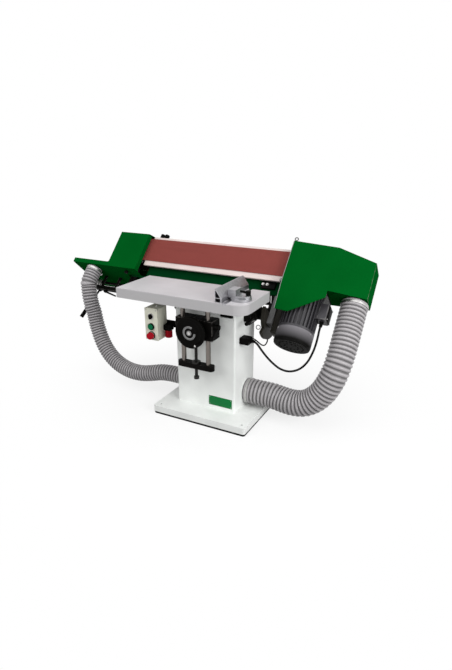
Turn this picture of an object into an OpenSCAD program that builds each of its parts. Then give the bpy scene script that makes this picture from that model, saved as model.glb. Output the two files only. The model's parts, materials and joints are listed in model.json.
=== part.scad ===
// Floor-standing edge sander with a tilting belt head, a rising table and two dust hoses.
// Origin: middle of the base on the floor. X runs along the belt, Y to the back, Z up. Millimetres.

/* [Stand] */
// Width of the base along the belt
base_w = 550; // [500:10:700]
// Depth of the base
base_d = 470; // [400:10:600]
// Height of the base with its pad
base_h = 47; // [40:1:70]
// Thickness of the rubber pad under the base
pad_t = 12; // [6:1:16]
// Width of the column
column_w = 350; // [330:2:380]
// Depth of the column
column_d = 236; // [220:2:260]
// Height of the column's top above the floor
column_top = 592; // [580:1:596]
// Shift of the column from the middle of the base
column_x = -12; // [-20:1:0]
// Sheet thickness of the column and the base
sheet_t = 3; // [2:0.5:5]
// Diameter of the four anchor holes
anchor_d = 14; // [8:1:20]
// Distance of the anchor holes from the edges of the base
anchor_inset = 30; // [24:1:45]
// Outer diameter of the rear dust outlet
outlet_d = 120; // [80:5:150]

/* [Table] */
// Length of the table along the belt
table_l = 731; // [700:1:740]
// Depth of the table
table_w = 294; // [285:1:310]
// Height of the table's top at rest
table_z = 690; // [680:1:700]
// Depth of the table's skirt
skirt_h = 52; // [40:1:56]
// Thickness of the table's plate
plate_t = 14; // [12:1:20]
// Right end of the table from the middle of the base
table_right = 276; // [264:1:276]
// Gap between the table and the upright belt
table_gap = 4.7; // [3:0.1:10]
// Radius of the table's front right corner
table_corner_r = 66; // [20:1:80]
// Width of the fence slot
slot_w = 20; // [16:1:24]
// Depth of the fence slot
slot_h = 9; // [6:1:10]

/* [Lift] */
// Diameter of the guide rods
rod_d = 25; // [20:1:30]
// Distance between the guide rods
rod_pitch = 144; // [130:1:160]
// Middle of the lift along the belt
lift_x = -30; // [-40:1:-20]
// Distance of the rods from the column's front
lift_out = 60; // [56:1:66]
// Diameter of the lead screw
screw_d = 16; // [12:1:18]
// Diameter of the handwheel
wheel_d = 165; // [140:1:180]
// Height of the handwheel's shaft
wheel_z = 507; // [500:1:510]

/* [Head] */
// Tilt of the belt from upright at rest
tilt = 43; // [0:1:90]
// Height of the tilt axis
pivot_z = 540; // [530:1:550]
// Inner length of the sanding belt
belt_l = 2600; // [2560:5:2640]
// Width of the sanding belt
belt_w = 150; // [120:1:154]
// Thickness of the sanding belt
belt_t = 2; // [1:0.5:3]
// Distance of the belt's lower edge from the tilt axis
belt_low = 197; // [194:1:204]
// Diameter of the two drums
drum_d = 128; // [120:1:132]
// Place of the drive drum along the belt
drive_x = 414; // [410:1:420]
// Thickness of the hoods' sheet
hood_t = 2.5; // [1.5:0.5:4]
// Diameter of the motor over its fins
motor_d = 190; // [170:1:194]

/* [Hoses] */
// Outer diameter of the right hose over its ribs
right_hose_d = 138; // [130:1:140]
// Outer diameter of the left hose over its ribs
left_hose_d = 96; // [88:1:100]
// Rib spacing of the right hose
right_rib = 21; // [18:1:40]
// Rib spacing of the left hose
left_rib = 17; // [15:1:40]
// Diameter of the motor cable
cable_d = 11; // [8:1:14]
// Diameter of the switch cable
switch_cable_d = 7; // [5:1:9]

/* [Hidden] */
$fn = 48;
hex_sides = 6;
full_turn = 360;
loop_sides = 96;

// Clearances and the overrun of all cuts
cut = 1;
run_gap = 0.06;
soft_gap = 0.8;
slide_gap = 0.3;

// Colours
white = [0.92, 0.93, 0.92];
grey = [0.78, 0.78, 0.78];
green = [0.02, 0.37, 0.14];
black = [0.09, 0.09, 0.09];
steel = [0.70, 0.70, 0.72];
rubber = [0.13, 0.13, 0.13];
red = [0.75, 0.10, 0.10];
belt_red = [0.57, 0.27, 0.24];
hose_grey = [0.62, 0.60, 0.61];
bronze = [0.70, 0.55, 0.30];
dark_green = [0.01, 0.22, 0.08];
button_green = [0.05, 0.50, 0.25];
sector_black = [0.20, 0.19, 0.16];

// Stand
pad_inset = 2;
base_corner_r = 12;
tray_t = 5;
boss_wall = 8;
column_corner_r = 10;
column_left = column_x - column_w / 2;
column_right = column_x + column_w / 2;
column_front = -column_d / 2;
column_back = column_d / 2;
vent_w = 72;
vent_h = 12;
vent_x = 114;
vent_drop = 8;
outlet_z = 210;
outlet_l = 60;
outlet_wall = 2.5;
flange_over = 14;
flange_t = 3.7;
door_w = 210;
door_h = 170;
door_z = 420;
door_t = 2.5;
door_lap = 12;
spigot_wall = 2;
spigot_l = 48;
right_spigot_d = 108;
left_spigot_d = 70;
right_port_y = 22;
right_port_z = 127;
left_port_y = -15;
left_port_z = 140;

// Lift
lift_y = column_front - lift_out;
rod_x = [lift_x - rod_pitch / 2, lift_x + rod_pitch / 2];
housing_side = 34;
housing_ahead = 20;
housing_drop = 44;
housing_rise = 60;
housing_front = lift_y - housing_ahead;
housing_low = wheel_z - housing_drop;
housing_high = wheel_z + housing_rise;
housing_x0 = rod_x[0] - housing_side;
housing_x1 = rod_x[1] + housing_side;
gear_r = 18;
gear_inner = 10;
mesh_gap = 0.5;
cavity_half = 24;
cavity_room = 5;
cavity_rise = 26;
cavity_depth = 22;
cavity_low = wheel_z - gear_r - cavity_room;
cavity_high = wheel_z + cavity_rise;
cavity_back = lift_y + cavity_depth;
cover_t = 10;
cover_lap = 12;
cover_front = housing_front - cover_t;
shaft_d = 16;
wheel_gap = 2;
wheel_back = cover_front - wheel_gap;
wheel_hub_d = 56;
wheel_hub_l = 30;
wheel_rim_l = 20;
wheel_rim_t = 22;
wheel_web_t = 8;
wheel_front = wheel_back - wheel_hub_l;
shaft_over = 4;
dial_outer_d = 68;
dial_inner_d = 44;
dial_t = 4;
handle_r = 71;
handle_turn = -42;
handle_d = 20;
handle_l = 34;
handle_pin_d = 8;
handle_pin_l = 20;
screw_low = 236;
screw_over = 6;
screw_collar_d = 28;
screw_collar_h = 14;
gear_hub_d = 26;
rod_drop = 350;
tie_h = 28;
tie_d = 40;
tie_side = 32;
tie_r = 17;
tie_high = table_z - plate_t - rod_drop;
nut_d = 34;
nut_flange_d = 46;
nut_flange_t = 8;
lever_hub_d = 28;
lever_hub_l = 20;
lever_arm_d = 12;
lever_pin_d = 12;
lever_pin_l = 14;
rod_lever_l = 70;
rod_lever_turn = 35;
rod_lever_rise = 30;
rod_lever_z = wheel_z + rod_lever_rise;

// Table
table_x0 = table_right - table_l;
skirt_t = 12;
rib_t = 10;
rib_count = 4;
slot_x = 172;
slot_wall = 10;
rod_boss_d = 46;

// Head
pivot_in = 1;
pivot_y = column_back - pivot_in;
drum_r = drum_d / 2;
drum_w = 7;
drum_over = 3;
belt_gap = 0.3;
belt_loop_r = drum_r + belt_gap;
belt_high = belt_low + belt_w;
belt_mid = (belt_low + belt_high) / 2;
drum_dist = (belt_l - 2 * PI * belt_loop_r) / 2;
idler_x = drive_x - drum_dist;
belt_in = drum_w + belt_loop_r;
belt_face = belt_in + belt_t;
graphite_t = 2;
platen_face = belt_in - belt_gap - graphite_t;
platen_t = 12;
platen_back = platen_face - platen_t;
platen_under = 30;
platen_over = 16;
platen_low = belt_low - platen_under;
platen_high = belt_high + platen_over;
platen_end_gap = 20;
platen_x0 = idler_x + drum_r + platen_end_gap;
platen_x1 = drive_x - drum_r - platen_end_gap;
graphite_inset = 4;
beam_h = 120;
beam_d = 70;
beam_wall = 5;
beam_low = belt_mid - beam_h / 2;
beam_high = belt_mid + beam_h / 2;
beam_front = platen_back;
beam_back = beam_front - beam_d;
beam_in = 8;
beam_x0 = platen_x0 + beam_in;
beam_x1 = platen_x1;
guide_t = 15;
guide_gap = 105;
table_back = pivot_y - belt_face - table_gap;
table_front = table_back - table_w;

// Tilt bearings and arms
boss_d = 68;
boss_l = 72;
boss_floor = 20;
trunnion_t = 14;
trunnion_front = -24;
trunnion_plate_front = 20;
trunnion_drop = 40;
trunnion_rise = 44;
trunnion_low = pivot_z - trunnion_drop;
trunnion_high = pivot_z + trunnion_rise;
rib_w = 40;
rib_drop = 8;
rib_rise = 40;
rib_low = pivot_z - rib_drop;
rib_high = pivot_z + rib_rise;
pin_d = 30;
arm_gap = 20;
arm_w = 30;
arm_half = 30;
arm_tail = 60;
arm_x0 = column_right + boss_l + arm_gap;
arm_x1 = arm_x0 + arm_w;
sector_t = 16;
sector_r = 98;
sector_tail_r = 130;
tail_from_turn = -110;
tail_to_turn = -15;
sector_tail_steps = 4;
function tail_turn(k) = tail_from_turn + (tail_to_turn - tail_from_turn) * k / sector_tail_steps;
function tail_ray(k) = [cos(tail_turn(k)), sin(tail_turn(k))];
sector_slot_r = 74;
sector_slot_w = 14;
sector_slot_turn = 62;
sector_slot_depth = 10;
tilt_lever_y = -4;
tilt_lever_rise = 22;
tilt_lever_z = pivot_z + tilt_lever_rise;
tilt_lever_l = 92;
tilt_lever_turn = 8;

// Right hood and motor
hood_face = 113;
right_hood_gap = 13;
right_hood_x0 = arm_x1 + right_hood_gap;
right_hood_bend = 545;
right_hood_x1 = 725;
right_hood_end_face = 20;
right_hood_back = -100;
right_hood_low = 152;
right_hood_top = 394;
right_hood_end_top = 361;
apron_left = [305, -8];
apron_low = [377, -14];
apron_right_low = 88;
apron_bend_low = 126;
hood_floor_x = 526;
right_port_x = 658;
right_port_w = -34;
mplate_t = 16;
mplate_gap = 1;
mplate_low = platen_low - mplate_gap - mplate_t;
mplate_x1 = 520;
mplate_hole_d = 60;
motor_r = motor_d / 2;
fin_h = 14;
fin_t = 5;
fin_count = 28;
motor_wall = 12;
motor_low = -80;
motor_core_d = 150;
core_wall = 12;
shaft_r = 14;
rotor_d = 124;
rotor_low = -50;
rotor_high = 110;
fan_low = -142;
fan_hub_d = 50;
fan_t = 14;
fan_blade_t = 6;
fan_blade_in = 2;
fan_blades = 8;
fan_r = 80;
cover_low = -156;
cover_wall = 2.5;
grille_holes = 18;
grille_hole_d = 12;
grille_r = 62;
grille_inner_holes = 10;
grille_inner_r = 36;
box_pad_half = 32;
box_low = 2;
box_high = 88;
box_half = 38;
box_l = 48;
gland_in = 21;
gland_x = drive_x + motor_r + gland_in;
gland_d = 24;
gland_l = 17.8;
gland_w = 7.5;

// Left hood
left_hood_over = 8;
left_hood_x1 = idler_x + drum_r + left_hood_over;
left_hood_x0 = -821;
left_hood_low = 108;
left_hood_top = 353;
left_hood_rise = 23;
left_hood_rise_w = 40;
left_hood_back = -156;
chute_x0 = -1088;
chute_front_h = 28;
chute_back_h = 86;
chute_back = -186;
chute_fillet = 10;
hood_lip_w = 82;
left_port_x = -949;
left_port_w = 60;
tail_slot_w = 76;
tail_slot_d = 60;

// Guard behind the lower part of the belt
guard_t = 3;
guard_front = arm_half + guard_t;
guard_low = 100;
guard_x0 = beam_x0 + guide_t;
tab_l = 70;
tab_h = 10;

// Idler carriage and belt tension
arm_plate_t = 12;
arm_plate_gap = 4;
carriage_half = 20;
carriage_w0 = drum_w - carriage_half;
carriage_w1 = drum_w + carriage_half;
carriage_post_gap = 4;
carriage_post_t = 12;
carriage_over = 16;
axle_d = 20;
slider_side = 40;
slider_l = 160;
slider_w = (beam_front + beam_back) / 2;
tail_w = 24;
tail_depth = 25;
tail_half = 10;
pull_v = 66;
pull_w = -48;
pull_d = 16;
pull_end = -975;
pull_head_d = 44;
pull_head_l = 25;
bearing_d = 48;
bearing_t = 14;
drum_wall = 14;
drum_end_t = 10;
drum_hub_d = 64;
bar_x0 = -972;
bar_x1 = -797;
bar_low = 12;
bar_high = 38;
bar_w0 = -58;
bar_w1 = -30;
bar_post_t = 8;
bar_post_l = 20;
bar_posts = [-930, -820];
tlever_x = -955;
tlever_v = 25;
tlever_t = 15;
tlever_l = 215;
tlever_turn = 13;
tlever_grip_l = 90;
tlever_grip_d = 24;
tlever_pin_d = 10;
tlever_finger = [-970, 60];
tlever_finger_r = 4.7;
tlever_finger_half = 3.5;
knob_stem_d = 10;
knob_d = 28;
knob_h = 22;
knob_rise = 46;
knob_w = 40;
knob_inset = 8;
knob_pitch = 30;

// Controls
ctrl_w = 80;
ctrl_d = 90;
ctrl_low = 412;
ctrl_high = 587;
ctrl_out = 58;
ctrl_in = 8;
ctrl_x1 = column_left - ctrl_out;
ctrl_back = column_front + ctrl_in;
ctrl_wall = 3;
lid_t = 6;
ctrl_x0 = ctrl_x1 - ctrl_w;
ctrl_mid = (ctrl_x0 + ctrl_x1) / 2;
ctrl_front = ctrl_back - ctrl_d;
bracket_t = 6;
bracket_low = 468;
bracket_high = 504;
bracket_deep = 80;
selector_z = 544;
start_z = 488;
stop_z = 440;
stem_d = 16;
stem_l = 22;
start_d = 30;
start_h = 7;
stop_d = 36;
stop_h = 16;
stop_gap = 7;
start_gap = 5;
selector_d = 26;
selector_h = 14;
selector_wing = 9;
inlet_w = 42;
inlet_d = 42;
inlet_low = 458;
inlet_high = 490;
inlet_cap_d = 38;
inlet_cap_h = 40;
inlet_cap_bore = 32;
inlet_cap_depth = 22;
inlet_cap_side = 21;
plug_l = 52.7;
plug_w = 59;
plug_h = 36;
plug_y = -46;
plug_z = 443;
plug_r = 8;

// Fence
fence_x = 212;
fence_y = -158;
fence_base_r = 52;
fence_base_t = 13;
fence_base_gap = 0.3;
fence_bar_l = 190;
fence_pin_d = 16;
profile_gap = 0.5;
fence_z0 = table_z + profile_gap;
bracket_x0 = -fence_base_r - slide_gap;
bracket_l = 40;
bracket_half = 32;
bracket_h = 38;
profile_w = 36;
profile_foot = 35;
profile_h = 65;
profile_front_h = 23;
profile_front = -97;
profile_wall = 3;
profile_end_gap = 1;
lever_x = 34;
lever_y = 8;
lever_knob_d = 24;
lever_knob_h = 22;
lever_stem_h = 10;
lever_handle_l = 40;
lever_handle_lean = 75;
lever_handle_turn = -60;

// Bolts
bolt_d = 12;
bolt_head_d = 20;
bolt_head_h = 7;
cover_screw_inset = 7;

// Routes of the hoses and cables: straight ends at their ports, and between them points chosen by hand
function head_point(x, w, v) =
    [x, pivot_y - w * cos(tilt) + v * sin(tilt), pivot_z + w * sin(tilt) + v * cos(tilt)];
function hood_end(x, w, v, lead) = [head_point(x, w, v - soft_gap), head_point(x, w, v - soft_gap - lead)];
right_lead = 136;
left_lead = 92;
cable_lead = 30;
wall_lead = 56;
plug_lead = 12;
switch_out = [0, 12, 9];
switch_drop = 1.2;
switch_back = 16;
right_wall = [column_right + flange_t + soft_gap, right_port_y, right_port_z];
left_wall = [column_left - flange_t - soft_gap, left_port_y, left_port_z];
plug_face = [column_right + plug_l + soft_gap, plug_y, plug_z];
switch_face = plug_face + switch_out;
right_route = concat(hood_end(right_port_x, right_port_w, right_hood_low, right_lead), [
    [658, 106, 479], [657, 66, 432], [653, 32, 384], [643, 10, 334], [624, 0, 280], [594, -3, 222],
    [552, -4, 172], [500, -2, 138], [442, 4, 124], [384, 14, 122], [328, 21, 126], [280, 22, 127]
], [right_wall + [wall_lead, 0, 0], right_wall]);
left_route = concat(hood_end(left_port_x, left_port_w, left_hood_low, left_lead), [
    [-946, 72, 560], [-933, 60, 500], [-921, 56, 450], [-905, 54, 400], [-888, 46, 345], [-864, 36, 290],
    [-828, 22, 232], [-779, 8, 178], [-718, -4, 136], [-648, -14, 110], [-574, -22, 100], [-500, -25, 103],
    [-430, -21, 117], [-366, -16, 133], [-300, -15, 140]
], [left_wall - [wall_lead, 0, 0], left_wall]);
cable_route = concat(hood_end(gland_x, gland_w, -gland_l, cable_lead), [
    [528, 66, 475], [522, 57, 435], [510, 49, 392], [492, 42, 350], [465, 34, 315], [432, 26, 294],
    [395, 18, 287], [358, 6, 299], [324, -8, 328], [294, -22, 364], [270, -36, 402], [252, -43, 430],
    [238, -46, 441]
], [plug_face + [plug_lead, 0, 0], plug_face]);
switch_route = concat([switch_face, switch_face + [plug_lead, 0, 0]], [
    [233, -24, 444], [236, -8, 431], [239, 9, 417], [241, 26, 404], [243, 43, 394], [244, 58, 388],
    [245, 72, 386], [246, 84, 389], [247, 94, 396]
], [[arm_x0 - sector_t / 2, pivot_y - switch_back, pivot_z - sector_tail_r - switch_drop]]);
hose_sides = 8;
rib_depth = 6;
hose_wall = 3;
route_steps = 8;
cable_ring = 26;
switch_ring = 16;
heading_steps = 400;

// Moves a piece from the head's own frame, face forward and edge up, to its place on the tilt axis
module on_head() {
    translate([0, pivot_y, pivot_z]) rotate([-tilt, 0, 0]) children();
}

// Block in the head's frame, from its ends along the belt, across the face and up the face
module head_block(x0, x1, w0, w1, v0, v1) {
    translate([x0, -w1, v0]) cube([x1 - x0, w1 - w0, v1 - v0]);
}

// Cylinder in the head's frame that stands along the belt's width
module head_post(x, w, v0, v1, d) {
    translate([x, -w, v0]) cylinder(h = v1 - v0, d = d);
}

// Block from its lowest and highest corners
module span(low, high) {
    translate(low) cube(high - low);
}

// Cylinder along X from its start
module x_rod(at, l, d) {
    translate(at) rotate([0, 90, 0]) cylinder(h = l, d = d);
}

// Cylinder along Y from its start
module y_rod(at, l, d) {
    translate(at) rotate([-90, 0, 0]) cylinder(h = l, d = d);
}

// Rectangle with round corners about its middle
module round_rect(w, d, r) {
    square([w - 2 * r, d], center = true);
    square([w, d - 2 * r], center = true);
    for (sx = [-1, 1], sy = [-1, 1])
        translate([sx * (w / 2 - r), sy * (d / 2 - r)]) circle(r);
}

// Copies at the four anchor holes
module at_anchors() {
    for (sx = [-1, 1], sy = [-1, 1])
        translate([sx * (base_w / 2 - anchor_inset), sy * (base_d / 2 - anchor_inset), 0]) children();
}

// Copies on the right side of the column and mirrored on its left side
module on_both_sides() {
    children();
    translate([2 * column_x, 0, 0]) mirror([1, 0, 0]) children();
}

// Points of a smooth curve through a route
function spline(p0, p1, p2, p3, t) =
    0.5 * (2 * p1 + (p2 - p0) * t + (2 * p0 - 5 * p1 + 4 * p2 - p3) * t * t
    + (3 * p1 - p0 - 3 * p2 + p3) * t * t * t);
function smooth_route(r) = [
    for (i = [0 : len(r) - 2], k = [0 : route_steps - 1])
        spline(i == 0 ? 2 * r[0] - r[1] : r[i - 1], r[i], r[i + 1],
            i == len(r) - 2 ? 2 * r[i + 1] - r[i] : r[i + 2], k / route_steps),
    r[len(r) - 1]
];
function run_lengths(p) = [
    for (i = 0, s = 0; i < len(p); s = s + (i + 1 < len(p) ? norm(p[i + 1] - p[i]) : 0), i = i + 1) s
];
function at_length(p, s, want) = [for (axis = [0 : 2])
    lookup(want, [for (i = [0 : len(p) - 1]) [s[i], p[i][axis]]])];
function unit(a) = a / norm(a);
side_ref = [0, -cos(tilt), sin(tilt)];
function ring(c, t, r, sides) = let (u = unit(cross(t, side_ref)), n = cross(u, t))
    [for (k = [0 : sides - 1], a = full_turn * (k + 0.5) / sides) c + r * (cos(a) * u + sin(a) * n)];
function heading(p, s, want, total) = let (d = total / heading_steps)
    unit(at_length(p, s, min(total, want + d)) - at_length(p, s, max(0, want - d)));
function rings(p, s, places, radii, sides) = let (total = s[len(s) - 1])
    [for (i = [0 : len(places) - 1])
        each ring(at_length(p, s, places[i]), heading(p, s, places[i], total), radii[i], sides)];
function wall_faces(first, count, sides, out) = [
    for (i = [0 : count - 2], k = [0 : sides - 1])
        let (a = first + i * sides + k, b = first + i * sides + (k + 1) % sides, c = a + sides, d = b + sides)
            each (out ? [[a, b, d], [a, d, c]] : [[a, d, b], [a, c, d]])
];
function end_faces(outer, inner, sides, start) = [
    for (k = [0 : sides - 1])
        let (a = outer + k, b = outer + (k + 1) % sides, c = inner + k, d = inner + (k + 1) % sides)
            each (start ? [[a, c, d], [a, d, b]] : [[a, d, c], [a, b, d]])
];

// Ribbed hose with its bore: two rings for each rib, and one ring for each rib inside
module ribbed_hose(route, d, rib) {
    p = smooth_route(route);
    s = run_lengths(p);
    total = s[len(s) - 1];
    ribs = round(total / rib);
    crest = d / 2;
    valley = crest - rib_depth;
    bore = valley - hose_wall;
    outer_places = [for (i = [0 : 2 * ribs]) total * i / (2 * ribs)];
    outer_radii = [for (i = [0 : 2 * ribs]) i % 2 == 0 ? valley : crest];
    inner_places = [for (i = [0 : ribs]) total * i / ribs];
    inner_radii = [for (i = [0 : ribs]) bore];
    outer = rings(p, s, outer_places, outer_radii, hose_sides);
    inner = rings(p, s, inner_places, inner_radii, hose_sides);
    first_in = len(outer);
    polyhedron(concat(outer, inner), concat(
        wall_faces(0, 2 * ribs + 1, hose_sides, true), wall_faces(first_in, ribs + 1, hose_sides, false),
        end_faces(0, first_in, hose_sides, true),
        end_faces(2 * ribs * hose_sides, first_in + ribs * hose_sides, hose_sides, false)));
}

// Plain round cable along a route
module cable(route, d, ring_step) {
    p = smooth_route(route);
    s = run_lengths(p);
    total = s[len(s) - 1];
    count = ceil(total / ring_step) + 1;
    places = [for (i = [0 : count - 1]) total * i / (count - 1)];
    radii = [for (i = [0 : count - 1]) d / 2];
    last = (count - 1) * hose_sides;
    polyhedron(rings(p, s, places, radii, hose_sides), concat(
        wall_faces(0, count, hose_sides, true),
        [for (k = [1 : hose_sides - 2]) [0, k + 1, k]],
        [for (k = [1 : hose_sides - 2]) [last, last + k, last + k + 1]]));
}

module base_pad() {
    color(rubber) difference() {
        linear_extrude(pad_t) round_rect(base_w - 2 * pad_inset, base_d - 2 * pad_inset, base_corner_r);
        at_anchors() translate([0, 0, -cut]) cylinder(h = pad_t + 2 * cut, d = anchor_d);
    }
}

module base_tray() {
    tray_h = base_h - pad_t;
    color(white) difference() {
        union() {
            difference() {
                translate([0, 0, pad_t]) linear_extrude(tray_h) round_rect(base_w, base_d, base_corner_r);
                translate([0, 0, pad_t - cut]) linear_extrude(tray_h + cut - tray_t)
                    round_rect(base_w - 2 * sheet_t, base_d - 2 * sheet_t, base_corner_r - sheet_t);
            }
            at_anchors() translate([0, 0, pad_t]) cylinder(h = tray_h, d = anchor_d + 2 * boss_wall);
        }
        at_anchors() translate([0, 0, pad_t - cut]) cylinder(h = tray_h + 2 * cut, d = anchor_d);
    }
}

// Stub pipe with a flange on the column's wall, pointing along +X
module wall_spigot(d) {
    x_rod([0, 0, 0], spigot_l, d);
    x_rod([0, 0, 0], flange_t, d + 2 * flange_over);
}

module column() {
    inner_w = column_w - 2 * sheet_t;
    inner_d = column_d - 2 * sheet_t;
    inner_r = column_corner_r - sheet_t;
    column_h = column_top - base_h;
    color(white) difference() {
        union() {
            difference() {
                translate([column_x, 0, base_h]) linear_extrude(column_h)
                    round_rect(column_w, column_d, column_corner_r);
                translate([column_x, 0, base_h - cut]) linear_extrude(column_h + cut - sheet_t)
                    round_rect(inner_w, inner_d, inner_r);
            }
            translate([column_right, right_port_y, right_port_z]) wall_spigot(right_spigot_d);
            translate([column_left, left_port_y, left_port_z]) mirror([1, 0, 0]) wall_spigot(left_spigot_d);
        }
        x_rod([column_right - sheet_t - cut, right_port_y, right_port_z], sheet_t + spigot_l + 2 * cut,
            right_spigot_d - 2 * spigot_wall);
        x_rod([column_left - spigot_l - cut, left_port_y, left_port_z], sheet_t + spigot_l + 2 * cut,
            left_spigot_d - 2 * spigot_wall);
        span([vent_x - vent_w / 2, column_front - cut, column_top - vent_drop - vent_h],
            [vent_x + vent_w / 2, column_front + sheet_t + cut, column_top - vent_drop]);
        y_rod([column_x, column_back - sheet_t - cut, outlet_z], sheet_t + 2 * cut,
            outlet_d - 2 * outlet_wall);
        span([column_x - door_w / 2 + door_lap, column_back - sheet_t - cut, door_z - door_h / 2 + door_lap],
            [column_x + door_w / 2 - door_lap, column_back + cut, door_z + door_h / 2 - door_lap]);
    }
}

module column_door() {
    color(white) span([column_x - door_w / 2, column_back, door_z - door_h / 2],
        [column_x + door_w / 2, column_back + door_t, door_z + door_h / 2]);
}

module dust_outlet() {
    color(steel) difference() {
        union() {
            y_rod([column_x, column_back, outlet_z], outlet_l, outlet_d);
            y_rod([column_x, column_back, outlet_z], flange_t, outlet_d + 2 * flange_over);
        }
        y_rod([column_x, column_back - cut, outlet_z], outlet_l + 2 * cut, outlet_d - 2 * outlet_wall);
    }
}

// Lift housing with the rod guides and the gear space
module lift_housing() {
    height = housing_high - housing_low;
    bore_h = height + 2 * cut;
    color(black) difference() {
        union() {
            span([housing_x0, housing_front, housing_low], [housing_x1, column_front, housing_high]);
            x_rod([housing_x1 - cut, lift_y, rod_lever_z], cut + lever_hub_l / 2, lever_hub_d);
        }
        for (x = rod_x)
            translate([x, lift_y, housing_low - cut]) cylinder(h = bore_h, d = rod_d + 2 * run_gap);
        translate([lift_x, lift_y, housing_low - cut]) cylinder(h = bore_h, d = screw_d + 2 * run_gap);
        span([lift_x - cavity_half, housing_front - cut, cavity_low],
            [lift_x + cavity_half, cavity_back, cavity_high]);
        x_rod([housing_x1 + lever_hub_l / 2 - lever_pin_l, lift_y, rod_lever_z], lever_pin_l + cut,
            lever_pin_d + 2 * run_gap);
    }
}

module gearbox_cover() {
    color(black) difference() {
        span([lift_x - cavity_half - cover_lap, cover_front, cavity_low - cover_lap],
            [lift_x + cavity_half + cover_lap, housing_front, cavity_high + cover_lap]);
        y_rod([lift_x, cover_front - cut, wheel_z], cover_t + 2 * cut, shaft_d + 2 * run_gap);
    }
}

// Hexagon bolt heads: tilt bearings on the column and gear cover on the lift housing
module frame_bolts() {
    screw_lap = cover_lap - cover_screw_inset;
    color(steel) {
        on_both_sides() for (y = [trunnion_plate_front + bolt_head_d, column_back - 3 * bolt_head_d])
            x_hex([column_right + trunnion_t, y, trunnion_low + bolt_head_d]);
        for (sx = [-1, 1], z = [cavity_low - screw_lap, cavity_high + screw_lap])
            y_rod([lift_x + sx * (cavity_half + screw_lap), cover_front - bolt_head_h / 2, z],
                bolt_head_h / 2, bolt_d);
    }
}

module x_hex(at) {
    translate(at) rotate([0, 90, 0]) cylinder(h = bolt_head_h, d = bolt_head_d, $fn = hex_sides);
}

// Tilt bearings on both sides of the column, the right one with the seat of the clamp lever
module trunnions() {
    color(black) difference() {
        union() {
            on_both_sides() {
                span([column_right, trunnion_plate_front, trunnion_low],
                    [column_right + trunnion_t, pivot_y, trunnion_high]);
                x_rod([column_right, pivot_y, pivot_z], boss_l, boss_d);
                span([column_right, trunnion_front, rib_low], [column_right + rib_w, pivot_y, rib_high]);
            }
        }
        on_both_sides() x_rod([column_right + boss_floor, pivot_y, pivot_z], boss_l, pin_d + 2 * run_gap);
        x_rod([column_right + rib_w - lever_pin_l, tilt_lever_y, tilt_lever_z], lever_pin_l + cut,
            lever_pin_d + 2 * run_gap);
    }
}

module control_bracket() {
    color(black) {
        span([ctrl_x0, ctrl_back, bracket_low], [column_left, ctrl_back + bracket_t, bracket_high]);
        span([column_left - bracket_t, ctrl_back, bracket_low],
            [column_left, ctrl_back + bracket_deep, bracket_high]);
    }
}

module control_box() {
    color(grey) difference() {
        span([ctrl_x0, ctrl_front + lid_t, ctrl_low], [ctrl_x1, ctrl_back, ctrl_high]);
        span([ctrl_x0 + ctrl_wall, ctrl_front, ctrl_low + ctrl_wall],
            [ctrl_x1 - ctrl_wall, ctrl_back - ctrl_wall, ctrl_high - ctrl_wall]);
    }
}

module control_lid() {
    color(grey) difference() {
        span([ctrl_x0, ctrl_front, ctrl_low], [ctrl_x1, ctrl_front + lid_t, ctrl_high]);
        for (z = [selector_z, start_z, stop_z])
            y_rod([ctrl_mid, ctrl_front - cut, z], lid_t + 2 * cut, stem_d + 2 * run_gap);
    }
}

module power_inlet() {
    color(black) span([ctrl_x1, ctrl_back - inlet_d, inlet_low], [ctrl_x1 + inlet_w, ctrl_back, inlet_high]);
}

module inlet_cap() {
    at = [ctrl_x1 + inlet_w - inlet_cap_side, ctrl_back - inlet_d / 2, inlet_low - inlet_cap_h];
    color(red) translate(at) difference() {
        cylinder(h = inlet_cap_h, d = inlet_cap_d);
        translate([0, 0, -cut]) cylinder(h = inlet_cap_depth + cut, d = inlet_cap_bore);
    }
}

module cable_plug() {
    color(black) translate([column_right, plug_y, plug_z]) rotate([90, 0, 90]) linear_extrude(plug_l)
        round_rect(plug_w, plug_h, plug_r);
}

module left_hose() {
    color(hose_grey) ribbed_hose(left_route, left_hose_d, left_rib);
}

module right_hose() {
    color(hose_grey) ribbed_hose(right_route, right_hose_d, right_rib);
}

module motor_cable() {
    color(black) cable(cable_route, cable_d, cable_ring);
}

module switch_cable() {
    color(black) cable(switch_route, switch_cable_d, switch_ring);
}

// Outline of the table with its round front right corner
module table_outline(inset) {
    x0 = table_x0 + inset;
    x1 = table_right - inset;
    y0 = table_front + inset;
    y1 = table_back - inset;
    r = table_corner_r - inset;
    translate([x0, y0]) square([x1 - x0 - r, y1 - y0]);
    translate([x0, y0 + r]) square([x1 - x0, y1 - y0 - r]);
    translate([x1 - r, y0 + r]) circle(r);
}

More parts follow.
